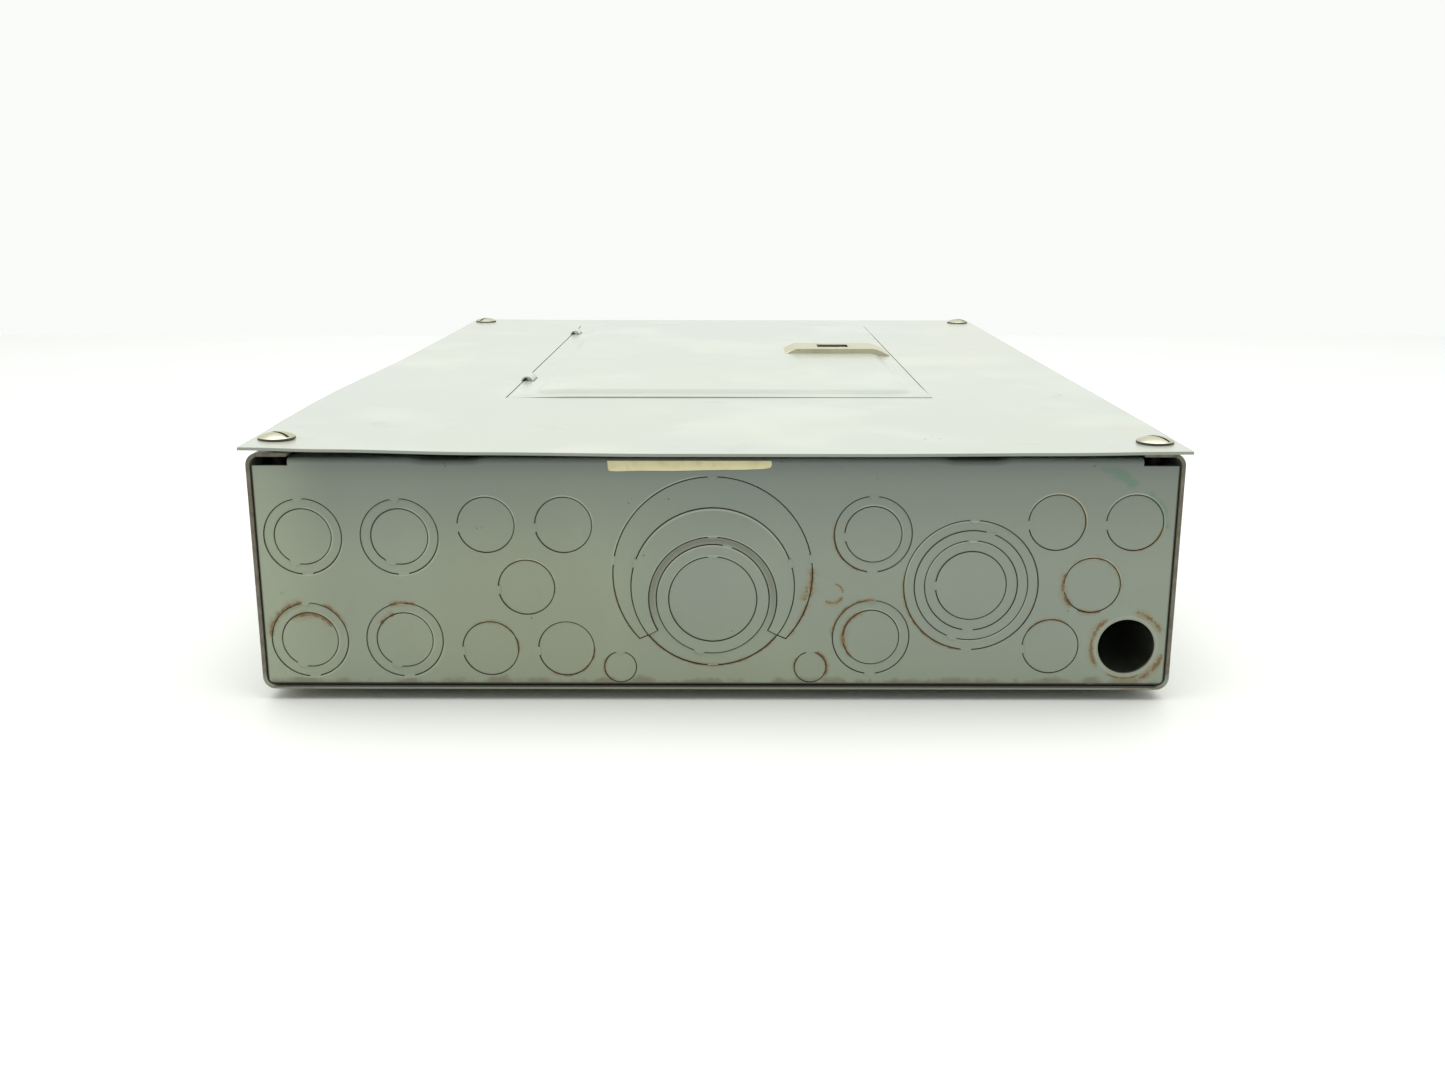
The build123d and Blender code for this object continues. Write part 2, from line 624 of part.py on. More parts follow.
def bar_standoffs(x, ys, z):
    """Two blocks that carry a terminal bar off the back."""
    return [slab(x - 7, x + 7, y - 8, y + 8, Z_BACK, z) for y in (ys[0] + 14, ys[1] - 14)]


def bonding_strap():
    """Strip that ties the neutral bar to the box, with a foot at each end."""
    x, y = NEUTRAL_X, NEUTRAL_Y[0] + 60
    strap = slab(x - 26, x - 8, y - 5, y + 5, Z_BACK, Z_BACK + 1)
    strap += slab(x - 9, x - 8, y - 5, y + 5, Z_BACK, NEUTRAL_Z + 1)
    return strap + slab(x - 9, x - BAR_W / 2, y - 5, y + 5, NEUTRAL_Z, NEUTRAL_Z + 1)


def nodes():
    """Every separate piece by name; repeated pieces are made in loops."""
    parts = {
        "enclosure_wrap": enclosure_wrap(),
        "lower_end_wall": end_wall(True),
        "upper_end_wall": end_wall(False),
        "cover": cover(),
        "cover_screws": cover_screws(),
        "door": door(),
        "latch_cover": latch_cover(),
        "latch_slide": latch_slide(),
        "latch_guide": latch_guide(),
        "circuit_directory": circuit_directory(),
        "deadfront": deadfront(),
        "filler_plates": filler_plates(),
        "interior_pan": interior_pan(),
        "pan_screws": pan_screws(),
        "insulator_base": insulator_base(),
        "bus_bar_left": bus_bar(-1),
        "bus_bar_right": bus_bar(1),
        "main_breaker_body": main_breaker_body(),
        "main_breaker_handle": main_breaker_handle(),
        "main_lugs": main_lugs(),
        "main_lug_screws": main_lug_screws(),
        "branch_terminal_screws": branch_terminal_screws(),
        "neutral_bar": terminal_bar(NEUTRAL_X, NEUTRAL_Y, NEUTRAL_Z),
        "neutral_screws": terminal_screws(NEUTRAL_X, NEUTRAL_Y, NEUTRAL_Z),
        "neutral_standoffs": bar_standoffs(NEUTRAL_X, NEUTRAL_Y, NEUTRAL_Z),
        "neutral_lug": lug(NEUTRAL_X, NEUTRAL_Y[0] - 16, NEUTRAL_Z - 4),
        "neutral_lug_screw": lug_screw(NEUTRAL_X, NEUTRAL_Y[0] - 8, NEUTRAL_Z + 11),
        "bonding_strap": bonding_strap(),
        "ground_bar": terminal_bar(GROUND_BAR_X, GROUND_BAR_Y, GROUND_BAR_Z),
        "ground_screws": terminal_screws(GROUND_BAR_X, GROUND_BAR_Y, GROUND_BAR_Z),
        "ground_standoffs": bar_standoffs(GROUND_BAR_X, GROUND_BAR_Y, GROUND_BAR_Z),
    }
    for row in range(BREAKER_ROWS):
        for side in (-1, 1):
            number = 2 * row + (1 if side < 0 else 2)
            parts[f"branch_breaker_{number:02d}"] = breaker_body(row, side)
            parts[f"branch_handle_{number:02d}"] = breaker_handle(row, side)
    return parts


os.makedirs("parts", exist_ok=True)
for name, shape in nodes().items():
    whole = Compound(children=list(shape)) if isinstance(shape, list) else shape
    export_step(whole, f"parts/{name}.step")
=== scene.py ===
"""Looks of the residential load center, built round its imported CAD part.

Lengths are millimetres in the row frame until a mesh is made, and metres in Blender.
"""

import json
import math
import random

import bmesh
import bpy
from mathutils import Matrix, Vector


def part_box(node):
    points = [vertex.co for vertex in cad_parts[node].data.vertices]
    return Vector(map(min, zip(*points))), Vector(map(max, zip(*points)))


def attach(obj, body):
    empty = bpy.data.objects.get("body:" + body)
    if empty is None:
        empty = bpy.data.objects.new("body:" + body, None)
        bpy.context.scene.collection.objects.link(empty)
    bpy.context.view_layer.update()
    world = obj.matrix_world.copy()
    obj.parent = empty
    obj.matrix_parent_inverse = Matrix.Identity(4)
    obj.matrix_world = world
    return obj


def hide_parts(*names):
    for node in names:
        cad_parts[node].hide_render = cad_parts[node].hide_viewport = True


MM = 0.001
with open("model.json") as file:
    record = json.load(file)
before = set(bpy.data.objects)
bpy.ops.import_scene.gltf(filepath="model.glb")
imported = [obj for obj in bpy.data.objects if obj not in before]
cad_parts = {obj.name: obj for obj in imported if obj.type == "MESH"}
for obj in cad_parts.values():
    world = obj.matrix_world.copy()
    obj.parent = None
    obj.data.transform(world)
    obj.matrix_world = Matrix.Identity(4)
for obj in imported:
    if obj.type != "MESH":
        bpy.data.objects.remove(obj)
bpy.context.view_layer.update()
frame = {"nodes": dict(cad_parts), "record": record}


def node_box(name):
    """Lowest and highest corner of a CAD node, in millimetres."""
    low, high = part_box(name)
    return low / MM, high / MM


# -------------------------------------------------------------- main sizes
WALL_LOW, WALL_HIGH = node_box("lower_end_wall")
COVER_LOW, COVER_HIGH = node_box("cover")
DOOR_LOW, DOOR_HIGH = node_box("door")
WRAP_LOW, WRAP_HIGH = node_box("enclosure_wrap")
LATCH_LOW, LATCH_HIGH = node_box("latch_cover")
Y_NEAR = WRAP_LOW.y
FRONT_Y = WALL_LOW.y
WALL_TOP = WALL_HIGH.z
WALL_BOTTOM = WALL_LOW.z
HALF = WALL_HIGH.x
END = -Y_NEAR
SHEET = 1.5
COVER_T = 1.2
COVER_TOP = WRAP_HIGH.z + COVER_T
DOOR_T = 1.0
PANEL_TOP = DOOR_HIGH.z
PANEL_X = (-89.5, 94.5)
PANEL_Y = (Y_NEAR + 149.0, Y_NEAR + 480.0)
PANEL_BEVEL = 5.0
PANEL_CORNER = 7.0
OPEN_X = (-101.5, 102.6)
OPEN_Y = (Y_NEAR + 137.0, Y_NEAR + 492.0)
HINGE = (-99.2, 101.2)
HINGE_YS = (Y_NEAR + 203.0, Y_NEAR + 438.0)
SCREW_X = 173.5
SCREW_Y = END - 17.0
LATCH_Y = (LATCH_LOW.y + LATCH_HIGH.y) / 2
WINDOW_X = (58.6, 77.0)
OPEN_HOLE = (163.1, 22.55)

# ------------------------------------------------------- camera and stage
CAMERA_AT = (0.0051, -0.7990, 0.2004)
CAMERA_TILT = 75.79
CAMERA_TURN = 0.24
CAMERA_LENS = 35.155


def link(obj):
    bpy.context.scene.collection.objects.link(obj)
    return obj


camera = link(bpy.data.objects.new("camera", bpy.data.cameras.new("camera")))
camera.data.sensor_width = 36
camera.data.lens = CAMERA_LENS
camera.location = CAMERA_AT
camera.rotation_euler = (math.radians(CAMERA_TILT), 0, math.radians(CAMERA_TURN))
bpy.context.scene.camera = camera
bpy.context.scene.view_settings.view_transform = "Standard"


# --------------------------------------------------------------- materials
class Surface:
    """A procedural material, built up in layers on one Principled shader."""

    def __init__(self, name, color, roughness, metallic=0.0, coat=0.0, coat_roughness=0.1, ior=1.5):
        self.material = bpy.data.materials.new(name)
        self.material.use_nodes = True
        self.tree = self.material.node_tree
        self.shader = self.tree.nodes["Principled BSDF"]
        self.where = self.add("ShaderNodeTexCoord").outputs["Object"]
        self.base = color
        self.rough = roughness
        self.bump = None
        self.shader.inputs["Metallic"].default_value = metallic
        self.shader.inputs["Coat Weight"].default_value = coat
        self.shader.inputs["Coat Roughness"].default_value = coat_roughness
        self.shader.inputs["IOR"].default_value = ior

    def add(self, kind, **settings):
        node = self.tree.nodes.new(kind)
        for key, value in settings.items():
            setattr(node, key, value)
        return node

    def feed(self, socket, value):
        """Links a socket, or sets a plain number, vector or colour."""
        if isinstance(value, bpy.types.NodeSocket):
            self.tree.links.new(value, socket)
        elif isinstance(value, (int, float)):
            socket.default_value = value
        else:
            padded = list(value) + [1.0] * (len(socket.default_value) - len(value))
            socket.default_value = padded

    def calc(self, operation, a, b=0.0):
        node = self.add("ShaderNodeMath", operation=operation)
        self.feed(node.inputs[0], a)
        self.feed(node.inputs[1], b)
        return node.outputs[0]

    def times(self, a, b):
        return self.calc("MULTIPLY", a, b)

    def vector(self, operation, a, b=(0, 0, 0)):
        node = self.add("ShaderNodeVectorMath", operation=operation)
        self.feed(node.inputs[0], a)
        self.feed(node.inputs[1], b)
        return node.outputs["Value" if operation in ("LENGTH", "DOT_PRODUCT") else "Vector"]

    def part(self, axis):
        """One coordinate of the place on the surface, in metres."""
        node = self.add("ShaderNodeSeparateXYZ")
        self.feed(node.inputs[0], self.where)
        return node.outputs[axis]

    def noise(self, scale, detail=3.0, roughness=0.5, stretch=(1, 1, 1), distortion=0.0):
        node = self.add("ShaderNodeTexNoise")
        self.feed(node.inputs["Vector"], self.vector("MULTIPLY", self.where, stretch))
        node.inputs["Scale"].default_value = scale
        node.inputs["Detail"].default_value = detail
        node.inputs["Roughness"].default_value = roughness
        node.inputs["Distortion"].default_value = distortion
        return node.outputs["Fac"]

    def cells(self, scale, stretch=(1, 1, 1)):
        node = self.add("ShaderNodeTexVoronoi")
        self.feed(node.inputs["Vector"], self.vector("MULTIPLY", self.where, stretch))
        node.inputs["Scale"].default_value = scale
        return node.outputs["Distance"]

    def ramp(self, value, low, high, start=0.0, end=1.0):
        """A smooth step from start to end as value goes from low to high."""
        node = self.add("ShaderNodeMapRange", interpolation_type="SMOOTHSTEP")
        for number, item in enumerate((value, low, high, start, end)):
            self.feed(node.inputs[number], item)
        return node.outputs[0]

    def tint(self, factor, color, roughness=None):
        """Lays a colour over the base where factor is high, with its own roughness."""
        node = self.add("ShaderNodeMix", data_type="RGBA")
        self.feed(node.inputs[0], factor)
        under, over = [s for s in node.inputs if s.type == "RGBA"]
        self.feed(under, self.base)
        self.feed(over, color)
        self.base = [s for s in node.outputs if s.type == "RGBA"][0]
        if roughness is not None:
            blend = self.add("ShaderNodeMapRange")
            for number, item in enumerate((factor, 0.0, 1.0, self.rough, roughness)):
                self.feed(blend.inputs[number], item)
            self.rough = blend.outputs[0]

    def relief(self, height, distance):
        """Adds a bump layer; height is 0 to 1 and distance is in millimetres."""
        node = self.add("ShaderNodeBump")
        node.inputs["Strength"].default_value = 1.0
        node.inputs["Distance"].default_value = distance * MM
        self.feed(node.inputs["Height"], height)
        if self.bump is not None:
            self.feed(node.inputs["Normal"], self.bump)
        self.bump = node.outputs[0]

    def arc(self, across, up, radius, width, angle=0.0, spread=180.0, plane="XZ"):
        """1 on a band of that radius round a centre in the plane, over part of the turn."""

        def placed(a, b):
            return (a, 0, b) if plane == "XZ" else (a, b, 0)

        flat = self.vector("MULTIPLY", self.where, placed(1, 1))
        away = self.vector("SUBTRACT", flat, placed(across * MM, up * MM))
        off = self.calc("ABSOLUTE", self.calc("SUBTRACT", self.vector("LENGTH", away), radius * MM))
        band = self.ramp(off, 0.0, width * MM, 1.0, 0.0)
        if spread >= 180:
            return band
        a = math.radians(angle)
        towards = self.vector("NORMALIZE", away)
        along = self.vector("DOT_PRODUCT", towards, placed(math.cos(a), math.sin(a)))
        low, high = (math.cos(math.radians(spread * share)) for share in (1.15, 0.6))
        inside = self.ramp(along, low, high)
        return self.times(band, inside)

    def patch(self, x, y, z, reach):
        """1 at a place, fading out over reach millimetres; a None coordinate isn't looked at."""
        keep = tuple(0 if c is None else 1 for c in (x, y, z))
        place = tuple(0 if c is None else c * MM for c in (x, y, z))
        away = self.vector("SUBTRACT", self.vector("MULTIPLY", self.where, keep), place)
        return self.ramp(self.vector("LENGTH", away), 0.0, reach * MM, 1.0, 0.0)

    def most(self, masks):
        """The highest of several masks."""
        found = masks[0]
        for mask in masks[1:]:
            found = self.calc("MAXIMUM", found, mask)
        return found

    def ragged(self, mask, noise, low=0.45, high=0.75, amount=0.9):
        """A mask broken up by a noise, so that a stain has an uneven edge."""
        shifted = self.times(self.calc("SUBTRACT", noise, 0.5), amount)
        return self.ramp(self.calc("ADD", mask, shifted), low, high)

    def done(self):
        self.feed(self.shader.inputs["Base Color"], self.base)
        self.feed(self.shader.inputs["Roughness"], self.rough)
        if self.bump is not None:
            self.feed(self.shader.inputs["Normal"], self.bump)
        return self.material


def shade(color, amount):
    """The colour made lighter or darker."""
    return tuple(min(1, c * amount) for c in color)


RUST_DARK = (0.060, 0.034, 0.016)
RUST = (0.178, 0.104, 0.036)
WALL_GREY = (0.248, 0.281, 0.198)
WALL_COOL = (0.218, 0.259, 0.220)
COVER_GREY = (0.425, 0.450, 0.375)
COVER_COOL = (0.405, 0.445, 0.392)


def enamel(name, color, cool, roughness=0.34):
    """Grey-green baked enamel: cloudy tone, faint orange peel, fine scratches and dust."""
    s = Surface(name, color, roughness, coat=0.35, coat_roughness=0.16)
    s.tint(s.ramp(s.noise(9, 2), 0.35, 0.65, 0.0, 0.7), cool)
    sheen = s.ramp(s.noise(16, 2, stretch=(1, 1, 0.4)), 0.50, 0.72, 0.0, 0.6)
    s.tint(sheen, shade(color, 1.16))
    dirt = s.ramp(s.noise(46, 6, 0.7), 0.56, 0.80, 0.0, 0.34)
    s.tint(dirt, shade(color, 0.74), 0.5)
    scratches = s.ramp(s.noise(60, 3, 0.6, stretch=(0.06, 5, 5), distortion=0.4), 0.70, 0.78, 0.0, 0.22)
    s.tint(scratches, shade(color, 1.35), 0.42)
    s.relief(s.noise(900, 2), 0.012)
    s.relief(s.noise(11, 2), 0.9)
    return s


def specks(s, scale, size, color, amount=0.85):
    """Sparse small spots of dirt or rust."""
    dots = s.ramp(s.cells(scale), 0.0, size, 1.0, 0.0)
    some = s.ramp(s.noise(scale * 0.35, 2), 0.60, 0.68)
    s.tint(s.times(s.times(dots, some), amount), color, 0.7)


# rust on the lower end wall: centre x and z, then radius, width, direction and spread of each stain
WALL_RUST = {
    (-161, 25.0): ((15.6, 2.6, 135, 48), (15.6, 1.6, 45, 30), (10.6, 2.2, 80, 60)),
    (-123.3, 25.0): ((15.4, 1.6, 92, 26), (11.4, 2.0, 128, 22)),
    (61.6, 26.3): ((15.4, 1.5, 130, 60), (11.0, 1.9, 165, 80)),
    (61.6, 68.3): ((15.4, 0.9, 205, 60),),
    (-1, 52.0): ((39.0, 2.8, -5, 11), (37.6, 3.0, -12, 6), (39.2, 1.5, -25, 18), (39.2, 0.7, 200, 26)),
    (-1, 46.7): ((32.2, 1.1, 285, 45), (32.2, 0.9, 232, 25)),
    (46.3, 44.4): ((3.9, 1.7, 285, 75), (3.9, 1.1, 40, 45)),
    (37.8, 13.8): ((6.6, 1.7, 20, 70), (6.4, 1.2, 180, 50)),
    (-37.8, 13.8): ((6.4, 1.0, 180, 80),),
    (-59.2, 21.4): ((11.2, 1.1, 300, 80),),
    (-89.4, 21.4): ((11.2, 1.2, 60, 90),),
    (-74.3, 46.7): ((11.2, 0.9, 60, 90),),
    (148.0, 47.8): ((11.4, 2.4, 190, 45), (11.2, 1.5, 60, 90), (11.2, 1.7, 268, 30)),
    (132.9, 22.5): ((11.3, 1.1, 100, 60),),
    (100.5, 47.6): ((26.6, 1.0, 215, 60),),
    (163.1, 22.55): ((13.9, 2.3, 172, 56), (14.6, 2.4, 52, 36), (14.6, 2.9, 318, 34), (13.2, 1.3, 270, 40)),
    (132.9, 73.05): ((11.2, 0.9, 45, 70),),
    (163.1, 73.05): ((11.2, 0.9, 300, 60),),
}
WALL_RUST_ARCS = [(*centre, *stain) for centre, stains in WALL_RUST.items() for stain in stains]

# edges of the shears that catch the light: centre x and z, radius, width, direction, spread
WALL_GLINTS = (
    (-1, 46.7, 31.5, 0.45, 90, 62),
    (-1, 52.0, 39.7, 0.35, 135, 40),
    (-1, 41.9, 21.8, 0.45, 100, 70),
    (-1, 41.9, 25.7, 0.35, 90, 80),
    (-1, 41.9, 17.8, 0.35, 110, 60),
    (100.5, 47.6, 25.9, 0.45, 125, 60),
    (100.5, 47.6, 17.8, 0.45, 115, 60),
    (100.5, 47.6, 22.7, 0.35, 300, 50),
    *((x, z, 11.6, 0.45, 15, 80) for x in (-161, -123.3) for z in (25.0, 67.2)),
    *((x, z, 15.7, 0.40, 305, 50) for x in (-161, -123.3) for z in (25.0, 67.2)),
    *((61.6, z, 11.6, 0.40, 60, 70) for z in (26.3, 68.3)),
    *((x, 73.05, 11.6, 0.45, 75, 85) for x in (132.9, 163.1)),
    *((x, 71.95, 11.6, 0.40, 60, 60) for x in (-89.4, -59.2)),
    *((x, z, 11.6, 0.40, 60, 60) for x, z in ((-74.3, 46.7), (148.0, 47.8))),
)


def wall_enamel():
    """The lower end wall: painted shade under the cover, in the gaps at its sides and foot and in a
    recessed band, painted light low down and at the left edge, painted highlights on the shear edges, rust
    round the knockouts, a green smear.
    """
    s = enamel("enamel_end_wall", WALL_GREY, WALL_COOL)
    height = s.part("Z")
    # painted shade: the upper half darkens towards the cover, with a dark band under its overhang
    s.tint(s.ramp(height, 0.050, 0.100, 0.0, 0.85), shade(WALL_COOL, 0.70))
    s.tint(s.ramp(height, 0.088, 0.0985, 0.0, 0.55), (0.105, 0.125, 0.125))
    # painted light: lighter low down, standing in for light bounced up from the floor
    s.tint(s.ramp(height, 0.008, 0.040, 0.35, 0.0), shade(WALL_GREY, 1.12))
    # painted highlight: the left edge made lighter, standing in for a reflection
    s.tint(s.ramp(s.part("X"), -0.1785, -0.1480, 0.55, 0.0), shade(WALL_GREY, 1.30))
    # painted shade and dirt: a darker band in the recess along the top of the middle knockout
    band = s.arc(-1, 41.9, 23.9, 1.9, 90, 118)
    s.tint(s.times(band, 0.55), (0.105, 0.098, 0.062), 0.6)
    bottom = s.ramp(height, 0.0070, 0.0135, 1.0, 0.0)
    blotch = s.noise(90, 5, 0.65)
    s.tint(s.times(s.ragged(bottom, blotch, 0.60, 1.15, 2.2), 0.70), (0.150, 0.132, 0.075), 0.6)
    # painted shade: dark in the narrow gaps between the wall and the wrap at its sides and foot, broken up
    # by a noise
    sides = s.ramp(s.calc("ABSOLUTE", s.part("X")), (HALF - 0.7) * MM, (HALF - 0.2) * MM)
    foot = s.ramp(height, (WALL_BOTTOM + 0.35) * MM, (WALL_BOTTOM + 1.00) * MM, 1.0, 0.0)
    patchy_gap = s.ramp(s.noise(45, 4, 0.7), 0.60, 0.70, 0.98, 0.60)
    s.tint(s.times(s.most([sides, foot]), patchy_gap), (0.032, 0.027, 0.017), 0.8)
    halo = s.most([s.arc(x, z, r, w * 2.6, a, q) for x, z, r, w, a, q in WALL_RUST_ARCS])
    s.tint(s.ragged(halo, s.noise(170, 6, 0.75), 0.60, 1.35, 1.5), (0.230, 0.195, 0.095), 0.6)
    arcs = s.most([s.arc(*values) for values in WALL_RUST_ARCS])
    rust = s.ragged(arcs, s.noise(330, 7, 0.8), 0.66, 1.08, 2.4)
    s.tint(rust, RUST, 0.8)
    s.tint(s.ragged(arcs, s.noise(560, 5, 0.75), 1.05, 1.40, 2.0), RUST_DARK, 0.9)
    clean = s.arc(*OPEN_HOLE, 12.2, 0.9)
    s.tint(s.times(clean, 0.45), (0.36, 0.37, 0.28), 0.4)
    glints = s.most([s.arc(*values) for values in WALL_GLINTS])
    s.tint(s.times(glints, 0.65), (0.40, 0.43, 0.34), 0.3)
    smear = s.most([s.arc(146.0, 74.0, 21.0, 5.0, 62, 26), s.arc(160.0, 71.0, 15.5, 4.0, 30, 34)])
    streak = s.noise(120, 4, 0.6, distortion=1.2)
    s.tint(s.times(s.ragged(smear, streak, 0.45, 1.0, 1.6), 0.60), (0.075, 0.180, 0.105), 0.45)
    specks(s, 260, 0.16, RUST_DARK)
    return s.done()


def plain_enamel():
    """The upper end wall: sound paint with some rust along its foot."""
    s = enamel("enamel_upper_wall", WALL_GREY, WALL_COOL)
    foot = s.ramp(s.part("Z"), 0.0066, 0.0110, 1.0, 0.0)
    s.tint(s.ragged(foot, s.noise(80, 6, 0.7), 0.70, 1.2, 1.5), RUST, 0.8)
    specks(s, 200, 0.12, RUST_DARK)
    return s.done()


def box_enamel():
    """The wrap: rusty cut edge at the ends, rust low down at the corners, painted shade in the gap under
    the end wall's foot.
    """
    s = enamel("enamel_box", WALL_GREY, WALL_COOL)
    along = s.calc("ABSOLUTE", s.part("Y"))
    rim = s.ramp(along, (END - 0.6) * MM, (END - 0.2) * MM)
    edge_noise = s.noise(240, 5, 0.7)
    upright = s.ramp(s.part("Z"), 0.0075, 0.0120)
    side_rim = s.times(rim, upright)
    s.tint(s.times(rim, 0.35), (0.190, 0.205, 0.160), 0.5)
    s.tint(s.times(side_rim, 0.80), (0.150, 0.138, 0.100), 0.6)
    s.tint(s.ragged(side_rim, edge_noise, 0.72, 1.35, 1.1), (0.085, 0.056, 0.030), 0.8)
    low = s.ramp(s.part("Z"), 0.0045, 0.0115, 1.0, 0.0)
    near_end = s.ramp(along, (END - 30) * MM, END * MM)
    outward = s.ramp(s.calc("ABSOLUTE", s.part("X")), 0.118, 0.180, 0.25, 1.0)
    corner = s.times(s.times(low, near_end), outward)
    s.tint(s.ragged(corner, s.noise(70, 6, 0.75), 0.70, 1.15, 1.5), RUST, 0.85)
    # painted shade: a dark line on the wrap's floor in the gap under the end wall's foot
    near_rim = s.ramp(along, (END - 1.8) * MM, (END - 1.5) * MM)
    inner_floor = s.ramp(s.part("Z"), (WALL_BOTTOM - 1.35) * MM, (WALL_BOTTOM - 1.15) * MM)
    above = s.ramp(s.part("Z"), (WALL_BOTTOM - 0.50) * MM, (WALL_BOTTOM - 0.35) * MM, 1.0, 0.0)
    flat = s.ramp(s.calc("ABSOLUTE", s.part("X")), (HALF - 3.5) * MM, (HALF - 1.5) * MM, 1.0, 0.0)
    gap_shade = s.times(s.times(inner_floor, above), s.times(near_rim, flat))
    s.tint(s.times(gap_shade, 0.95), (0.030, 0.025, 0.016), 0.8)
    specks(s, 150, 0.10, RUST_DARK)
    return s.done()


# brown marks on the cover: x, y and reach
COVER_SPOTS = (
    (84.5, -236.3, 2.2), (90.5, -236.0, 1.8), (88, -231, 1.4), (165.6, -118.7, 3.0), (150, -60, 2.0),
)
# an arc scribed on the door below the latch: centre x and y, radius, width, direction, spread
SCRIBE_ARC = (74.0, 10.0, 13.5, 0.9, 78, 42)


def cover_enamel():
    """The cover and door: cleaner enamel with light scuffs, and painted shade along the cover's outer
    edges.
    """
    s = enamel("enamel_cover", COVER_GREY, COVER_COOL, 0.30)
    marks = s.ramp(s.noise(150, 4, 0.6, stretch=(1, 0.15, 1), distortion=0.8), 0.70, 0.80, 0.0, 0.25)
    s.tint(marks, (0.24, 0.23, 0.18), 0.5)
    specks(s, 90, 0.05, (0.10, 0.08, 0.05), 0.6)
    fine = s.noise(260, 6, 0.75)
    brown = s.most([s.patch(x, y, None, reach) for x, y, reach in COVER_SPOTS])
    s.tint(s.times(s.ragged(brown, fine, 0.55, 0.95, 1.6), 0.55), (0.230, 0.165, 0.085), 0.6)
    yellow = s.patch(171, -219, None, 26)
    faint = s.ragged(yellow, s.noise(70, 5, 0.7), 0.50, 1.2, 1.2)
    s.tint(s.times(faint, 0.30), (0.43, 0.40, 0.24))
    # painted shade: the cover's outer edges made darker
    edges = []
    for axis, end in (("Y", COVER_HIGH.y), ("X", COVER_HIGH.x)):
        edges.append(s.ramp(s.calc("ABSOLUTE", s.part(axis)), (end - 0.5) * MM, (end - 0.3) * MM))
    s.tint(s.times(s.most(edges), 0.8), (0.235, 0.255, 0.215), 0.5)
    outside = s.ramp(s.part("Z"), (PANEL_TOP - 0.85) * MM, (PANEL_TOP - 0.70) * MM)
    scribed = s.times(s.arc(*SCRIBE_ARC, plane="XY"), outside)
    s.tint(s.times(scribed, 0.75), (0.190, 0.205, 0.200), 0.5)
    return s.done()


def cut_edge():
    """Bottom and sides of the shears round each blank: paint, dirt and some rust."""
    s = Surface("cut_edge", (0.078, 0.070, 0.046), 0.85)
    s.tint(s.ramp(s.noise(34, 3, 0.6), 0.50, 0.68, 0.0, 0.7), (0.165, 0.172, 0.125), 0.6)
    s.tint(s.ramp(s.noise(300, 5, 0.7), 0.52, 0.75, 0.0, 0.85), (0.125, 0.072, 0.034), 0.9)
    s.tint(s.ramp(s.noise(52, 2, 0.5), 0.55, 0.70, 0.0, 0.8), (0.022, 0.020, 0.015), 0.9)
    s.relief(s.noise(1500, 3), 0.05)
    return s.done()


def nickel(name, color, dull, dirt, roughness):
    """Tarnished nickel plate with a warm tone."""
    s = Surface(name, color, roughness, metallic=1.0)
    s.tint(s.ramp(s.noise(110, 4, 0.6), 0.42, 0.72, 0.0, 0.7), dull, roughness + 0.1)
    s.tint(s.ramp(s.noise(480, 5, 0.7), 0.58, 0.76, 0.0, 0.6), dirt, 0.6)
    s.relief(s.noise(600, 3), 0.008)
    return s.done()


def dirt_and_shade():
    """Dirt and painted shade in the slots and round the rims of the screws: a near-black look."""
    s = Surface("dirt_and_shade", (0.060, 0.048, 0.040), 0.7)
    s.tint(s.ramp(s.noise(420, 4, 0.7), 0.45, 0.75, 0.0, 0.7), (0.135, 0.115, 0.090), 0.6)
    s.relief(s.noise(900, 3), 0.03)
    return s.done()


def metal(name, color, roughness, dull, grain=(1, 1, 1)):
    """Bare or plated metal with dull patches and a fine grain."""
    s = Surface(name, color, roughness, metallic=1.0)
    s.tint(s.ramp(s.noise(70, 5, 0.65), 0.42, 0.72, 0.0, 0.75), dull, roughness + 0.2)
    s.relief(s.noise(500, 4, stretch=grain), 0.015)
    return s.done()


def plastic(name, color, roughness, dusty):
    """Moulded plastic with dust in its grain."""
    s = Surface(name, color, roughness, coat=0.08, coat_roughness=0.3)
    s.tint(s.ramp(s.noise(55, 6, 0.7), 0.50, 0.78, 0.0, 0.6), dusty, roughness + 0.25)
    s.relief(s.noise(1100, 2), 0.02)
    return s.done()


def paper(name, color, stain, stained=0.7, ruled=0.0):
    """Aged paper, with ruled lines that far apart in millimetres."""
    s = Surface(name, color, 0.75)
    s.tint(s.ramp(s.noise(120, 5, 0.7), 0.45, 0.72, 0.0, stained), stain, 0.85)
    s.tint(s.ramp(s.noise(520, 4, 0.7), 0.66, 0.76, 0.0, stained), shade(stain, 0.35), 0.9)
    if ruled:
        rows = s.calc("FRACT", s.calc("DIVIDE", s.part("Y"), ruled * MM))
        middle = s.calc("ABSOLUTE", s.calc("ADD", s.part("X"), 0.024))
        lines = s.most([s.ramp(rows, 0.03, 0.05, 1.0, 0.0), s.ramp(middle, 0.0003, 0.0005, 1.0, 0.0)])
        s.tint(s.times(lines, 0.6), (0.16, 0.17, 0.17))
    s.relief(s.noise(900, 3), 0.03)
    return s.done()


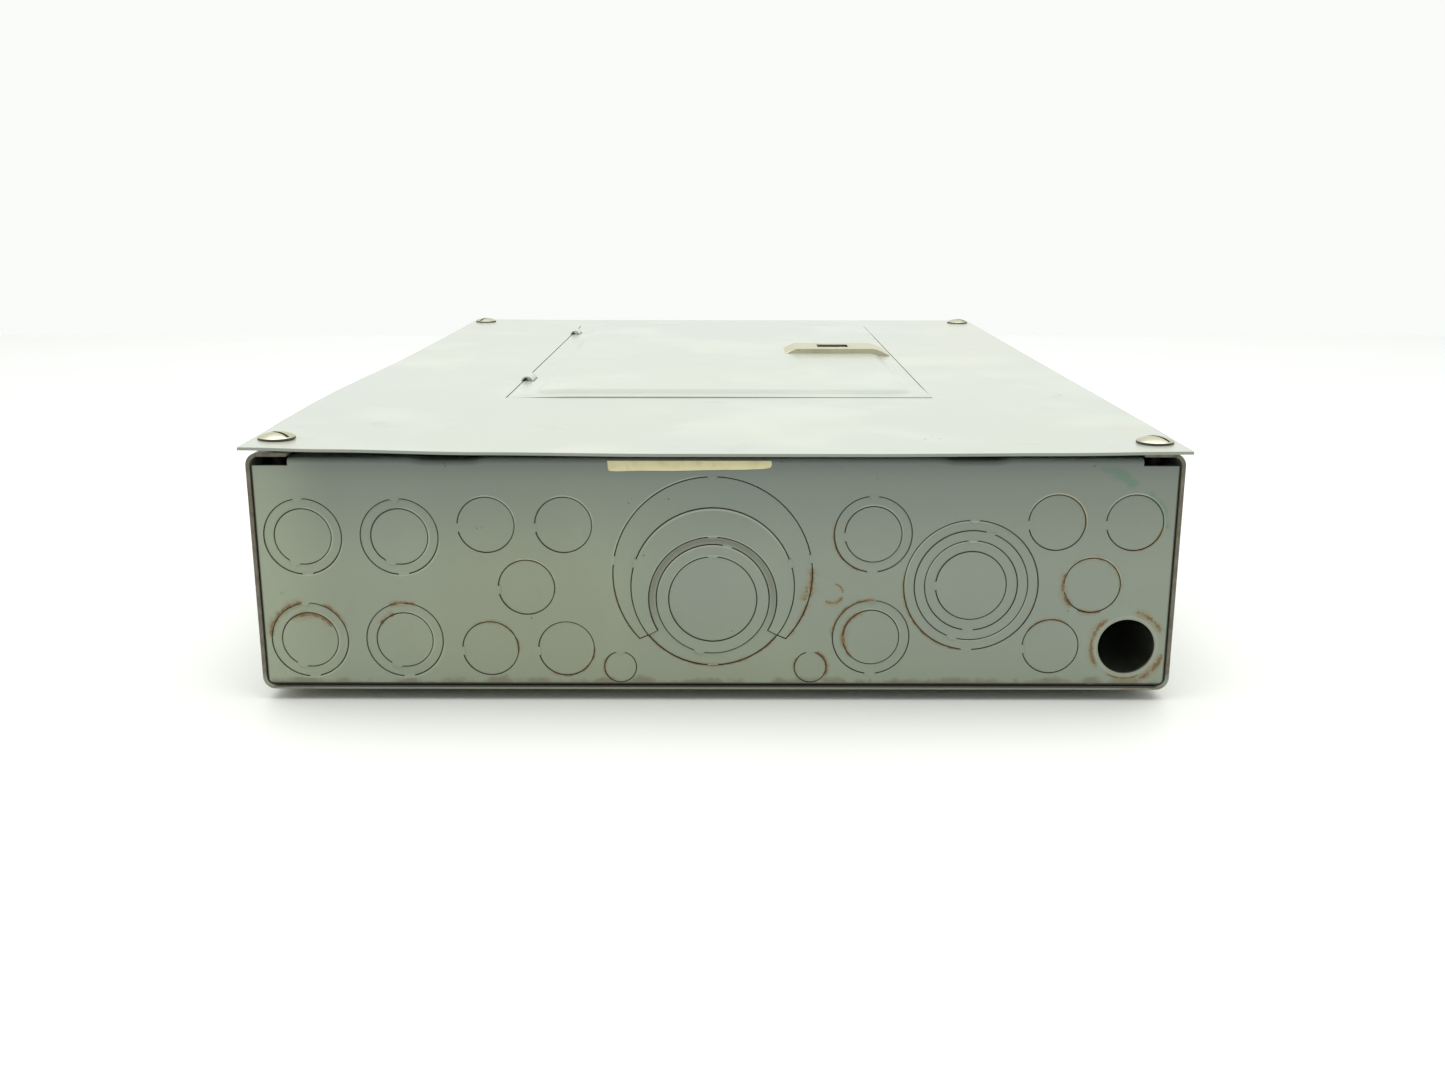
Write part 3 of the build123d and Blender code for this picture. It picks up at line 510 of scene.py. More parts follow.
MATERIALS = {
    "end_wall": wall_enamel(),
    "upper_wall": plain_enamel(),
    "grey_enamel": box_enamel(),
    "grey_enamel_cover": cover_enamel(),
    "cut_edge": cut_edge(),
    "nickel_steel": nickel(
        "nickel_plate", (0.58, 0.575, 0.435), (0.43, 0.415, 0.29), (0.155, 0.128, 0.080), 0.33),
    "nickel_latch": nickel(
        "nickel_latch", (0.63, 0.615, 0.445), (0.52, 0.50, 0.35), (0.26, 0.215, 0.13), 0.38),
    "dark_steel": metal("dark_steel", (0.125, 0.115, 0.105), 0.5, (0.07, 0.06, 0.05)),
    "dirt_and_shade": dirt_and_shade(),
    "zinc_steel": metal("zinc_plate", (0.56, 0.57, 0.56), 0.36, (0.36, 0.35, 0.31)),
    "black_phenolic": plastic("black_phenolic", (0.018, 0.018, 0.019), 0.42, (0.075, 0.072, 0.066)),
    "handle_black": plastic("handle_black", (0.026, 0.026, 0.028), 0.30, (0.060, 0.058, 0.055)),
    "insulator_red": plastic("insulator_red", (0.20, 0.045, 0.028), 0.45, (0.24, 0.13, 0.09)),
    "tinned_copper": metal("tinned_copper", (0.63, 0.60, 0.55), 0.34, (0.44, 0.37, 0.30), (1, 0.1, 1)),
    "aluminium": metal("aluminium", (0.70, 0.71, 0.72), 0.33, (0.50, 0.50, 0.50), (1, 0.1, 1)),
    "brass_strap": metal("brass_strap", (0.58, 0.37, 0.17), 0.38, (0.32, 0.19, 0.09)),
    "white_nylon": plastic("white_nylon", (0.62, 0.60, 0.54), 0.40, (0.45, 0.41, 0.33)),
    "card": paper("aged_card", (0.66, 0.61, 0.45), (0.52, 0.43, 0.26), 0.35, 13.0),
    "tape": paper("tape_remnant", (0.69, 0.64, 0.38), (0.53, 0.46, 0.25)),
}


# ------------------------------------------------------------- mesh helpers
class Shape:
    """Collects closed solids in millimetres and turns them into one piece."""

    def __init__(self):
        self.points = []
        self.faces = []

    def loft(self, sections, closed=False):
        """Joins equal closed sections in order, capping both ends unless it closes on itself."""
        base = len(self.points)
        count = len(sections[0])
        for section in sections:
            self.points.extend(section)
        rows = len(sections)
        for row in range(rows if closed else rows - 1):
            near = base + row * count
            far = base + ((row + 1) % rows) * count
            for k in range(count):
                n = (k + 1) % count
                self.faces.append((near + k, near + n, far + n, far + k))
        if not closed:
            self.faces.append(tuple(base + k for k in reversed(range(count))))
            self.faces.append(tuple(base + (rows - 1) * count + k for k in range(count)))

    def sheet(self, xs, ys, height, thickness, holes=()):
        """A thin sheet over a grid, its top at height(x, y), open at the boxes in holes."""
        base = len(self.points)
        across, along = len(xs), len(ys)
        for drop in (0.0, thickness):
            for y in ys:
                for x in xs:
                    self.points.append((x, y, height(x, y) - drop))

        def corner(i, j, below):
            return base + below * across * along + j * across + i

        def kept(i, j):
            if not (0 <= i < across - 1 and 0 <= j < along - 1):
                return False
            x, y = (xs[i] + xs[i + 1]) / 2, (ys[j] + ys[j + 1]) / 2
            return not any(x0 < x < x1 and y0 < y < y1 for x0, x1, y0, y1 in holes)

        for j in range(along - 1):
            for i in range(across - 1):
                if not kept(i, j):
                    continue
                cell = [(i, j), (i + 1, j), (i + 1, j + 1), (i, j + 1)]
                self.faces.append(tuple(corner(a, b, 0) for a, b in cell))
                self.faces.append(tuple(corner(a, b, 1) for a, b in reversed(cell)))
                beside = [(i, j - 1), (i + 1, j), (i, j + 1), (i - 1, j)]
                for k, neighbour in enumerate(beside):
                    if not kept(*neighbour):
                        (a0, b0), (a1, b1) = cell[k], cell[(k + 1) % 4]
                        edge = (corner(a0, b0, 0), corner(a0, b0, 1), corner(a1, b1, 1), corner(a1, b1, 0))
                        self.faces.append(edge)

    def mesh(self, name, scale=1.0):
        """A mesh of the solids, in millimetres unless they are scaled."""
        mesh = bpy.data.meshes.new(name)
        mesh.from_pydata([tuple(c * scale for c in p) for p in self.points], [], self.faces)
        return mesh

    def piece(self, name, material, body, stands_for, bevel):
        """The finished object, riding on its body."""
        return finished(name, self.mesh(name, MM), material, body, stands_for, bevel)


def joined(name, meshes):
    """One mesh in metres from several in millimetres."""
    whole = bmesh.new()
    for mesh in meshes:
        whole.from_mesh(mesh)
        bpy.data.meshes.remove(mesh)
    result = bpy.data.meshes.new(name)
    whole.to_mesh(result)
    whole.free()
    result.transform(Matrix.Scale(MM, 4))
    return result


def finished(name, mesh, material, body, stands_for=(), bevel=0.0, sharp=38):
    """Cleans a mesh and makes it a piece of the object."""
    tidy = bmesh.new()
    tidy.from_mesh(mesh)
    bmesh.ops.remove_doubles(tidy, verts=tidy.verts, dist=1e-6)
    loose = [v for v in tidy.verts if not v.link_faces]
    bmesh.ops.delete(tidy, geom=loose, context="VERTS")
    bmesh.ops.recalc_face_normals(tidy, faces=tidy.faces)
    tidy.to_mesh(mesh)
    tidy.free()
    mesh.shade_smooth()
    mesh.set_sharp_from_angle(angle=math.radians(sharp))
    for item in material if isinstance(material, (list, tuple)) else (material,):
        mesh.materials.append(MATERIALS[item])
    obj = link(bpy.data.objects.new(name, mesh))
    if bevel:
        soften(obj, bevel)
    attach(obj, body)
    if stands_for:
        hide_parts(*stands_for)
    return obj


def soften(obj, width, segments=2):
    """Rounds the sharp edges and keeps the flat faces flat in shading."""
    rounding = obj.modifiers.new("bevel", "BEVEL")
    rounding.width = width * MM
    rounding.segments = segments
    rounding.limit_method = "ANGLE"
    rounding.angle_limit = math.radians(40)
    rounding.harden_normals = False
    weighted = obj.modifiers.new("normals", "WEIGHTED_NORMAL")
    weighted.keep_sharp = True


def smooth(t):
    t = min(1.0, max(0.0, t))
    return t * t * (3 - 2 * t)


def between(points, at):
    """Smooth interpolation through (place, value) pairs."""
    if at <= points[0][0]:
        return points[0][1]
    for (a, va), (b, vb) in zip(points, points[1:]):
        if at <= b:
            return va + (vb - va) * smooth((at - a) / (b - a))
    return points[-1][1]


def grid_line(marks, coarse):
    """Coordinates through the marks, which are (place, step after it), never coarser than coarse."""
    line = []
    for (a, step), (b, _) in zip(marks, marks[1:]):
        count = max(1, math.ceil((b - a) / min(step, coarse)))
        line.extend(a + (b - a) * k / count for k in range(count))
    line.append(marks[-1][0])
    return line


# -------------------------------------------------------------- end walls
# each shear is a slit with a torn floor; the top edge is rolled back and laps over the plate
SLIT = 0.38
TORN_T = 0.3
PLATE_BEVEL = 0.16
NOTCH = (14.0, 3.0)
ROLL = 1.8
FLANGE = 13.4
LAP = 0.012
HALF_INCH = 22.2
THREE_QUARTER = 30.4
# two groups of five round knockouts: their middles, and the step out to the other four
FIVES = ((-74.3, 46.7), (148.0, 47.8))
FIVE_STEP = (15.1, 25.25)
# the large middle knockout: x, then the height and radius of each outline
MAIN_X = -1.0
WHOLE = (52.0, 39.2)
BODY = (46.7, 32.15)
INNER = (41.9, 25.3)
RIM = (41.9, 22.25)
DISC = (41.9, 17.4)
chance = random.Random(7)


def ring(cx, cz, radius, start=0.0, sweep=360.0):
    """Points along a circle or an arc of one."""
    steps = max(8, round(abs(sweep) / 5.0))
    last = steps if abs(sweep) >= 360 else steps + 1
    turn = [math.radians(start + sweep * k / steps) for k in range(last)]
    return [(cx + radius * math.cos(a), cz + radius * math.sin(a)) for a in turn]


def grown(outline, distance):
    """The closed outline moved outward by distance, or inward where it is negative."""
    count = len(outline)
    area = sum(
        outline[k - 1][0] * outline[k][1] - outline[k][0] * outline[k - 1][1] for k in range(count)
    )
    side = 1.0 if area > 0 else -1.0
    moved = []
    for k, (x, z) in enumerate(outline):
        back, ahead = outline[k - 1], outline[(k + 1) % count]
        first = Vector((z - back[1], back[0] - x)).normalized() * side
        second = Vector((ahead[1] - z, x - ahead[0])).normalized() * side
        push = (first + second) * (distance / max(0.4, 1 + first.dot(second)))
        moved.append((x + push.x, z + push.y))
    return moved


def main_outlines():
    """Nested outlines of the large middle knockout, from the largest to the smallest."""
    foot = math.degrees(math.atan2(26.85 - BODY[0], 25.8))
    lower = ring(MAIN_X, *BODY, 180 - foot, 180 + 2 * foot)
    over = ring(MAIN_X, *WHOLE, -42.3, 264.6)
    upper = ring(MAIN_X, *BODY, foot, 180 - 2 * foot)
    inner = ring(MAIN_X, *INNER, -30.6, 241.2)
    return {
        "whole": over + lower,
        "crescent_outer": (over, upper),
        "crescent_inner": (upper, inner),
        "body": inner + lower,
        "ring": ring(MAIN_X, *RIM),
        "disc": ring(MAIN_X, *DISC),
    }


class Knockouts:
    """Holes in the wall's plate, the blanks that fill them, their webs, and the floors of the shears."""

    def __init__(self):
        self.holes = []
        self.blanks = []
        self.webs = []
        self.floors = []

    def shear(self, outline, inset):
        """The torn floor of a shear, a strip under it."""
        depth = max(inset, 0.0) + TORN_T + 0.004 * len(self.floors)
        self.floors.append(([grown(outline, 0.6), grown(outline, -0.6)], depth))

    def nested(self, outlines, webs, insets, shifts=None):
        """One knockout: each blank fills its outline and is open at the next one."""
        self.holes.append(grown(outlines[0], SLIT / 2))
        for level, outline in enumerate(outlines):
            shift = (0, 0) if shifts is None else shifts[level]
            cuts = [grown(outline, -SLIT / 2)]
            if level + 1 < len(outlines):
                cuts.append(grown(outlines[level + 1], SLIT / 2))
            moved = [[(x + shift[0], z + shift[1]) for x, z in cut] for cut in cuts]
            self.blanks.append((moved, insets[level]))
            self.shear(outline, max(insets[level], insets[level - 1] if level else 0.0))
        self.webs.extend(webs)

    def round(self, x, z, diameters, web_angles, insets, shifts=None):
        """A knockout of circles round one centre; the rest is given for each circle in turn."""
        outlines = [ring(x, z, d / 2) for d in diameters]
        webs = []
        for level, (diameter, angles) in enumerate(zip(diameters, web_angles)):
            for angle in angles:
                outside = insets[level - 1] if level else 0.0
                webs.append((x, z, diameter / 2, angle, outside, insets[level]))
        self.nested(outlines, webs, insets, shifts)

    def arched(self):
        """The large middle knockout with its two crescents."""
        parts = main_outlines()
        self.holes.append(grown(parts["whole"], SLIT / 2))
        for name, inset in (("crescent_outer", 0.25), ("crescent_inner", -0.1)):
            outside, inside = parts[name]
            outline = outside + list(reversed(inside))
            self.blanks.append(([grown(outline, -SLIT / 2)], inset))
            self.shear(outline, 0.45)
        body = [grown(parts["body"], -SLIT / 2), grown(parts["ring"], SLIT / 2)]
        self.blanks.append((body, 0.45))
        rim = [grown(parts["ring"], -SLIT / 2), grown(parts["disc"], SLIT / 2)]
        self.blanks.append((rim, 0.0))
        self.blanks.append(([grown(parts["disc"], -SLIT / 2)], 0.3))
        for name in ("body", "ring", "disc"):
            self.shear(parts[name], 0.45)
        held = (
            (WHOLE, (90, 9.5, 171.5), 0.0, 0.25), (BODY, (18, 162), 0.25, -0.1), (BODY, (270,), 0.0, 0.45),
            (INNER, (90,), -0.1, 0.45), (RIM, (75, 256), 0.45, 0.0), (DISC, (90,), 0.0, 0.3),
        )
        for (z, radius), angles, outside, inside in held:
            self.webs += [(MAIN_X, z, radius, angle, outside, inside) for angle in angles]


def wall_knockouts(opened):
    """Every knockout of one end wall."""
    k = Knockouts()
    both = (THREE_QUARTER, HALF_INCH)
    double = (both, ((94, 274), (250,)), (0.32, 0.0), ((-0.08, 0.02), (0.08, 0.06)))
    for x in (-161.0, -123.3):
        for z in (25.0, 67.2):
            k.round(x, z, *double)
    right = (both, ((90, 270), (185,)), (0.28, 0.02), ((0.05, 0.05), (0.08, 0.0)))
    for z in (26.3, 68.3):
        k.round(61.6, z, *right)
    for cx, cz in FIVES:
        for dx, dz in ((-1, 1), (1, 1), (0, 0), (-1, -1), (1, -1)):
            x, z = cx + FIVE_STEP[0] * dx, cz + FIVE_STEP[1] * dz
            if opened and math.dist((x, z), OPEN_HOLE) < 1:
                k.holes.append(ring(x, z, HALF_INCH / 2 + 0.1))
                continue
            k.round(x, z, (HALF_INCH,), ((185,),), (0.22,), ((0.06, 0.04),))
    for x in (-37.8, 37.8):
        k.round(x, 13.8, (12.7,), ((90,),), (0.12,))
    service = (52.8, 44.5, 36.5, 27.7)
    webs = ((89, 268), (72, 252), (90, 268), (180,))
    k.round(100.5, 47.6, service, webs, (0.3, 0.0, 0.3, 0.05))
    k.arched()
    return k


def wall_top(x):
    """Height of the wall's top edge: straight, with two shallow scoops."""
    scoop = 0.0
    for low, high in ((-119.0, -88.0), (86.0, 115.0)):
        scoop += smooth((x - low) / 7) * smooth((high - x) / 7)
    return WALL_TOP - 0.15 - 0.95 * min(1.0, scoop)


def wall_outline():
    """The plate's outline below its rolled top edge."""
    shoulder = HALF - NOTCH[0]
    ledge = WALL_TOP - NOTCH[1]
    left = ring(-HALF + 3, WALL_BOTTOM + 3, 3, 180, 90)
    right = ring(HALF - 3, WALL_BOTTOM + 3, 3, 270, 90)
    top = [(x, wall_top(x) - ROLL) for x in grid_line([(-shoulder, 2.0), (shoulder, 2.0)], 2.0)]
    notch_right = [(HALF, ledge), (shoulder, ledge)]
    notch_left = [(-shoulder, ledge), (-HALF, ledge)]
    return left + right + notch_right + list(reversed(top)) + notch_left


def pressed(outlines, thickness, bevel):
    """A mesh in millimetres of a flat sheet in x and z with softened edges, centred on y = 0."""
    curve = bpy.data.curves.new("outline", "CURVE")
    curve.dimensions = "2D"
    curve.fill_mode = "BOTH"
    curve.extrude = thickness / 2 - bevel
    curve.bevel_depth = bevel
    curve.bevel_resolution = 1
    curve.offset = -bevel
    for outline in outlines:
        spline = curve.splines.new("POLY")
        spline.points.add(len(outline) - 1)
        spline.use_cyclic_u = True
        for point, (x, z) in zip(spline.points, outline):
            point.co = (x, z, 0, 1)
    holder = link(bpy.data.objects.new("outline", curve))
    bpy.context.view_layer.update()
    ready = holder.evaluated_get(bpy.context.evaluated_depsgraph_get())
    mesh = bpy.data.meshes.new_from_object(ready)
    bpy.data.objects.remove(holder)
    bpy.data.curves.remove(curve)
    mesh.transform(Matrix.Rotation(math.radians(90), 4, "X"))
    return mesh


def web_tab(shape, x, z, radius, angle, outside, inside):
    """A pressed tongue over the shear, where a blank is still joined on; its tip points down."""
    a = math.radians(angle)
    out = Vector((math.cos(a), math.sin(a)))
    side = Vector((-out.y, out.x))
    widths = (1.5, 1.75, 1.75, 1.5)
    reach = (0.95, 0.35, -0.35, -0.95)
    if out.y > 0.5:
        widths = (2.3, 2.1, 1.5, 0.75)
        reach = (0.7, 0.2, -0.5, -1.7)
    elif out.y < -0.5:
        widths = (0.75, 1.5, 2.1, 2.3)
        reach = (1.7, 0.5, -0.2, -0.7)
    crest = min(outside, inside) - 0.07
    depths = (outside - 0.005, crest, crest + 0.02, inside - 0.005)
    sections = []
    for width, away, depth in zip(widths, reach, depths):
        centre = Vector((x, z)) + out * (radius + away)
        rim = depth + 0.05
        front = [(-width, rim), (-0.6 * width, depth), (0.6 * width, depth), (width, rim)]
        loop = front + [(width, 1.0), (-width, 1.0)]
        places = [(centre + side * across, below) for across, below in loop]
        sections.append([(p.x, FRONT_Y + below, p.y) for p, below in places])
    shape.loft(sections)


def tilt_blank(mesh, outline):
    """Leans a blank by a fraction of a degree about its own middle, as pressing leaves it."""
    xs = [x for x, _ in outline]
    zs = [z for _, z in outline]
    centre = Vector(((min(xs) + max(xs)) / 2, FRONT_Y + SHEET / 2, (min(zs) + max(zs)) / 2))
    reach = max(max(xs) - min(xs), 1.0) / 2
    lean = math.degrees(0.16 / reach)
    turn = Matrix.Rotation(math.radians(lean * chance.uniform(-1, 1)), 4, "X")
    turn = turn @ Matrix.Rotation(math.radians(lean * chance.uniform(-1, 1)), 4, "Z")
    mesh.transform(Matrix.Translation(centre) @ turn @ Matrix.Translation(-centre))


def rolled_edge(shape):
    """The top edge of the wall, rolled back into a flange."""
    shoulder = HALF - NOTCH[0]
    turns = [math.radians(15 * k) for k in range(7)]
    sections = []
    for x in grid_line([(-shoulder, 2.0), (shoulder, 2.0)], 2.0):
        top = wall_top(x)
        outer = [(-LAP, top - ROLL - 0.8)]
        outer += [(ROLL - ROLL * math.cos(t) - LAP, top - ROLL + ROLL * math.sin(t)) for t in turns]
        inner = [(FLANGE, top), (FLANGE, top - SHEET), (ROLL, top - SHEET)]
        inner += [(SHEET, top - ROLL), (SHEET, top - ROLL - 0.8)]
        sections.append([(x, FRONT_Y + y, z) for y, z in outer + inner])
    shape.loft(sections)


def end_wall(node, material, opened=False, turned=False):
    """One end wall: plate, blanks at slightly different depths, webs and the rolled top edge."""
    name = node + "_look"
    knockouts = wall_knockouts(opened)
    meshes = []
    for outlines, inset in [([wall_outline()] + knockouts.holes, 0.0)] + knockouts.blanks:
        mesh = pressed(outlines, SHEET, PLATE_BEVEL)
        mesh.transform(Matrix.Translation((0, FRONT_Y + SHEET / 2 + inset, 0)))
        if inset:
            tilt_blank(mesh, outlines[0])
        meshes.append(mesh)
    for outlines, depth in knockouts.floors:
        mesh = pressed(outlines, TORN_T, 0.02)
        mesh.transform(Matrix.Translation((0, FRONT_Y + depth + TORN_T / 2, 0)))
        for polygon in mesh.polygons:
            polygon.material_index = 1
        meshes.append(mesh)
    shape = Shape()
    rolled_edge(shape)
    for web in knockouts.webs:
        web_tab(shape, *web)
    mesh = joined(name, meshes + [shape.mesh("edge")])
    if turned:
        mesh.transform(Matrix.Rotation(math.pi, 4, "Z"))
    obj = finished(name, mesh, (material, "cut_edge"), "enclosure", (node,), sharp=50)
    for polygon in obj.data.polygons:
        facing = abs(polygon.normal.y)
        polygon.use_smooth = facing < 0.995
        if facing < 0.2 and polygon.center.z < (WALL_TOP - ROLL - 0.5) * MM:
            polygon.material_index = 1


end_wall("lower_end_wall", "end_wall", opened=True)
end_wall("upper_end_wall", "upper_wall", turned=True)


# ------------------------------------------------------------ cover and door
# how far the used cover is bowed off its flat plane along each side: place, lift
LEFT_LIFT = [
    (-268, 1.3), (-235, 1.6), (-205, 2.3), (-165, 2.8), (-125, 2.8), (-85, 2.3),
    (-35, 1.5), (20, 0.8), (90, 0.6), (180, 0.5), (268, 0.8),
]
RIGHT_LIFT = [(-268, -0.1), (-200, 0.2), (-120, 0.15), (0, 0.0), (268, 0.0)]
NEAR_LIFT = [(-183, 1.3), (-150, 0.6), (-90, -0.5), (-20, -1.1), (60, -1.1), (130, -0.7), (183, -0.1)]
FAR_LIFT = [(-183, 0.8), (-100, 0.3), (0, 0.1), (183, 0.0)]
# widest step of the sheets' grids
COARSE = 9.0


def cover_lift(x, y):
    """How far the bowed cover stands off its flat plane."""
    left = between(LEFT_LIFT, y)
    right = between(RIGHT_LIFT, y)
    from_left = 1 - smooth((x - COVER_LOW.x) / 78)
    from_right = 1 - smooth((COVER_HIGH.x - x) / 78)
    sides = left * from_left + right * from_right
    from_near = 1 - smooth((y - COVER_LOW.y) / 110)
    from_far = 1 - smooth((COVER_HIGH.y - y) / 40)
    near_sides = between(LEFT_LIFT, -268) * from_left + between(RIGHT_LIFT, -268) * from_right
    far_sides = between(LEFT_LIFT, 268) * from_left
    near = (between(NEAR_LIFT, x) - near_sides) * from_near
    far = (between(FAR_LIFT, x) - far_sides) * from_far
    return sides + near + far


def hinge_strap(shape, y):
    """A strip curled from the cover's edge over the door's edge and down into its slot."""
    inner, outer = 2.3, 3.1
    half = 8.0
    sections = []
    flat = [(-107.0, COVER_TOP - 0.35), (-103.4, COVER_TOP - 0.3)]
    pairs = [((x, z - 0.4), (x, z + 0.4)) for x, z in flat]
    for k in range(19):
        a = math.radians(188 - 223 * k / 18)
        c, s = math.cos(a), math.sin(a)
        low = (HINGE[0] + inner * c, HINGE[1] + inner * s)
        high = (HINGE[0] + outer * c, HINGE[1] + outer * s)
        pairs.append((low, high))
    near, far = y - half, y + half
    for (x0, z0), (x1, z1) in pairs:
        sections.append([(x0, near, z0), (x0, far, z0), (x1, far, z1), (x1, near, z1)])
    shape.loft(sections)


def build_cover():
    """The cover: a bowed sheet, open at the door, with its two hinge straps."""
    shape = Shape()
    across = [(COVER_LOW.x, 4.0), (-150, 8.0), (OPEN_X[0], 8.0)]
    across += [(OPEN_X[1], 8.0), (150, 4.0), (COVER_HIGH.x, 4.0)]
    along = [(COVER_LOW.y, 4.0), (-220, 7.0), (OPEN_Y[0], COARSE), (OPEN_Y[1], 7.0), (COVER_HIGH.y, 4.0)]
    xs = grid_line(across, COARSE)
    ys = grid_line(along, COARSE)
    shape.sheet(xs, ys, lambda x, y: COVER_TOP + cover_lift(x, y), COVER_T, [(*OPEN_X, *OPEN_Y)])
    for y in HINGE_YS:
        hinge_strap(shape, y)
    shape.piece("cover_look", "grey_enamel_cover", "enclosure", ("cover",), 0.22)


def panel_height(x, y):
    """Top of the door: flat rim, rounded bevel, raised field with a faint crown."""
    reach = min(x - PANEL_X[0], PANEL_X[1] - x, y - PANEL_Y[0], PANEL_Y[1] - y)
    corner_x = max(PANEL_X[0] + PANEL_CORNER - x, x - PANEL_X[1] + PANEL_CORNER, 0)
    corner_y = max(PANEL_Y[0] + PANEL_CORNER - y, y - PANEL_Y[1] + PANEL_CORNER, 0)
    if corner_x > 0 and corner_y > 0:
        reach = PANEL_CORNER - math.hypot(corner_x, corner_y)
    rise = min(1.0, max(0.0, reach / PANEL_BEVEL))
    return COVER_TOP + (PANEL_TOP - COVER_TOP) * (1 - (1 - rise) ** 1.7)


def door_top(x, y):
    """The door's top face, standing a little proud along its lower edge."""
    proud = 0.55 * (1 - smooth((y - DOOR_LOW.y) / 45)) * smooth((x - DOOR_LOW.x) / 30)
    settled = 0.2 * smooth((x + 20) / 90) * smooth((DOOR_HIGH.y - 40 - y) / 60)
    return panel_height(x, y) + proud - settled


def build_door():
    """The door: a sheet with a raised field, slots for the straps and a hole under the latch."""
    shape = Shape()
    x0, x1, y0, y1 = DOOR_LOW.x, DOOR_HIGH.x + 0.3, DOOR_LOW.y, DOOR_HIGH.y + 0.35
    slot = (HINGE[0] + 1.7, -95.6)
    reach = 8.6
    window_y = (LATCH_Y - 5.8, LATCH_Y + 5.8)
    across = [(x0, 2.0), (slot[0], 2.0), (slot[1], 3.0), (PANEL_X[0], 0.9)]
    across += [(PANEL_X[0] + PANEL_CORNER, COARSE), (PANEL_X[1] - PANEL_CORNER, 0.9)]
    across += [(PANEL_X[1], 3.0), (x1, 2.0)]
    along = [(y0, 4.0), (PANEL_Y[0], 0.9), (PANEL_Y[0] + PANEL_CORNER, COARSE)]
    for y in HINGE_YS:
        along += [(y - reach, 4.0), (y + reach, COARSE)]
    along += [(PANEL_Y[1] - PANEL_CORNER, 0.9), (PANEL_Y[1], 3.0), (y1, 2.0)]
    holes = [(*slot, y - reach, y + reach) for y in HINGE_YS]
    holes.append((*WINDOW_X, *window_y))
    xs = sorted(set(grid_line(across, COARSE)) | set(WINDOW_X))
    ys = sorted(set(grid_line(along, COARSE)) | set(window_y))
    shape.sheet(xs, ys, door_top, DOOR_T, holes)
    shape.piece("door_look", "grey_enamel_cover", "door", ("door",), 0.18)


# lengths of the latch cover's ramp and of its nose, and half the width of its window
RAMP, NOSE = 6.5, 10.5
WINDOW_HALF = 7.0


def latch_height(x, y):
    """Top of the latch cover: ramp, flat, nose down over the door's bevel, rolled sides."""
    top = LATCH_HIGH.z - 0.05
    foot = PANEL_TOP - 0.27
    start, end = LATCH_LOW.x, LATCH_HIGH.x
    if x < start + RAMP:
        along = foot + 0.3 + (top - foot - 0.3) * (x - start) / RAMP
    elif x < end - NOSE:
        along = top
    else:
        turn = (x - end + NOSE) / NOSE * math.pi / 2
        along = top - (top - COVER_TOP - 0.55) * (1 - math.cos(turn)) ** 0.8
    floor = min(foot, panel_height(x, LATCH_Y) - 0.27)
    side = (LATCH_HIGH.y - LATCH_LOW.y) / 2 - abs(y - LATCH_Y)
    return floor + (along - floor) * math.sqrt(max(0.0, 1 - (1 - min(1.0, side / 0.35)) ** 2))


def build_latch():
    """The latch cover: a thin pressing with rolled sides and a finger window."""
    shape = Shape()
    start, end = LATCH_LOW.x, LATCH_HIGH.x
    marks = [(start, 1.0), (start + RAMP, 3.0), (WINDOW_X[0], 3.0), (WINDOW_X[1], 3.0)]
    marks += [(end - NOSE, 0.8), (end, 0.8)]
    xs = grid_line(marks, 3.0)
    half = (LATCH_HIGH.y - LATCH_LOW.y) / 2
    sides = (0.0, 0.015, 0.05, 0.11, 0.2, 0.35)
    ys = [LATCH_Y - half + s for s in sides] + [LATCH_Y + half - s for s in sides]
    ys = sorted(ys + [LATCH_Y + step for step in (-12, -WINDOW_HALF, 0, WINDOW_HALF, 12)])
    hole = (*WINDOW_X, LATCH_Y - WINDOW_HALF, LATCH_Y + WINDOW_HALF)
    shape.sheet(xs, ys, latch_height, 0.5, [hole])
    shape.piece("latch_cover_look", "nickel_latch", "door", ("latch_cover",), 0.12)


# half the outline of a cover screw: radius and height, from the top of its dome to its tip
SCREW_PROFILE = [
    (0.0, 2.7), (2.0, 2.62), (4.0, 2.25), (5.6, 1.7), (6.7, 1.2), (7.15, 0.95), (7.3, 0.8),
    (7.3, 0.15), (7.1, 0.0), (2.5, 0.0), (2.5, -11.5), (2.0, -12.0), (0.0, -12.0),
]
SCREW_TURNS = 48
SLOT_FLOOR = 1.15
SLOT_SIZE = (20, 1.5, 3)
# cover screws: side, end and direction of the slot
SCREWS = ((-1, -1, -32), (1, -1, -52), (-1, 1, 62), (1, 1, -38))


def turned_mesh(profile, turns):
    """A solid of revolution, in millimetres; the profile starts and ends on the axis."""
    solid = bmesh.new()
    rings = []
    for radius, level in profile:
        around = [math.tau * k / turns for k in range(turns if radius else 1)]
        rings.append([solid.verts.new((radius * math.cos(a), radius * math.sin(a), level)) for a in around])
    for above, below in zip(rings, rings[1:]):
        for k in range(turns):
            n = (k + 1) % turns
            if len(above) == 1:
                solid.faces.new((above[0], below[k], below[n]))
            elif len(below) == 1:
                solid.faces.new((above[k], below[0], above[n]))
            else:
                solid.faces.new((above[k], below[k], below[n], above[n]))
    mesh = bpy.data.meshes.new("turned")
    solid.to_mesh(mesh)
    solid.free()
    return mesh


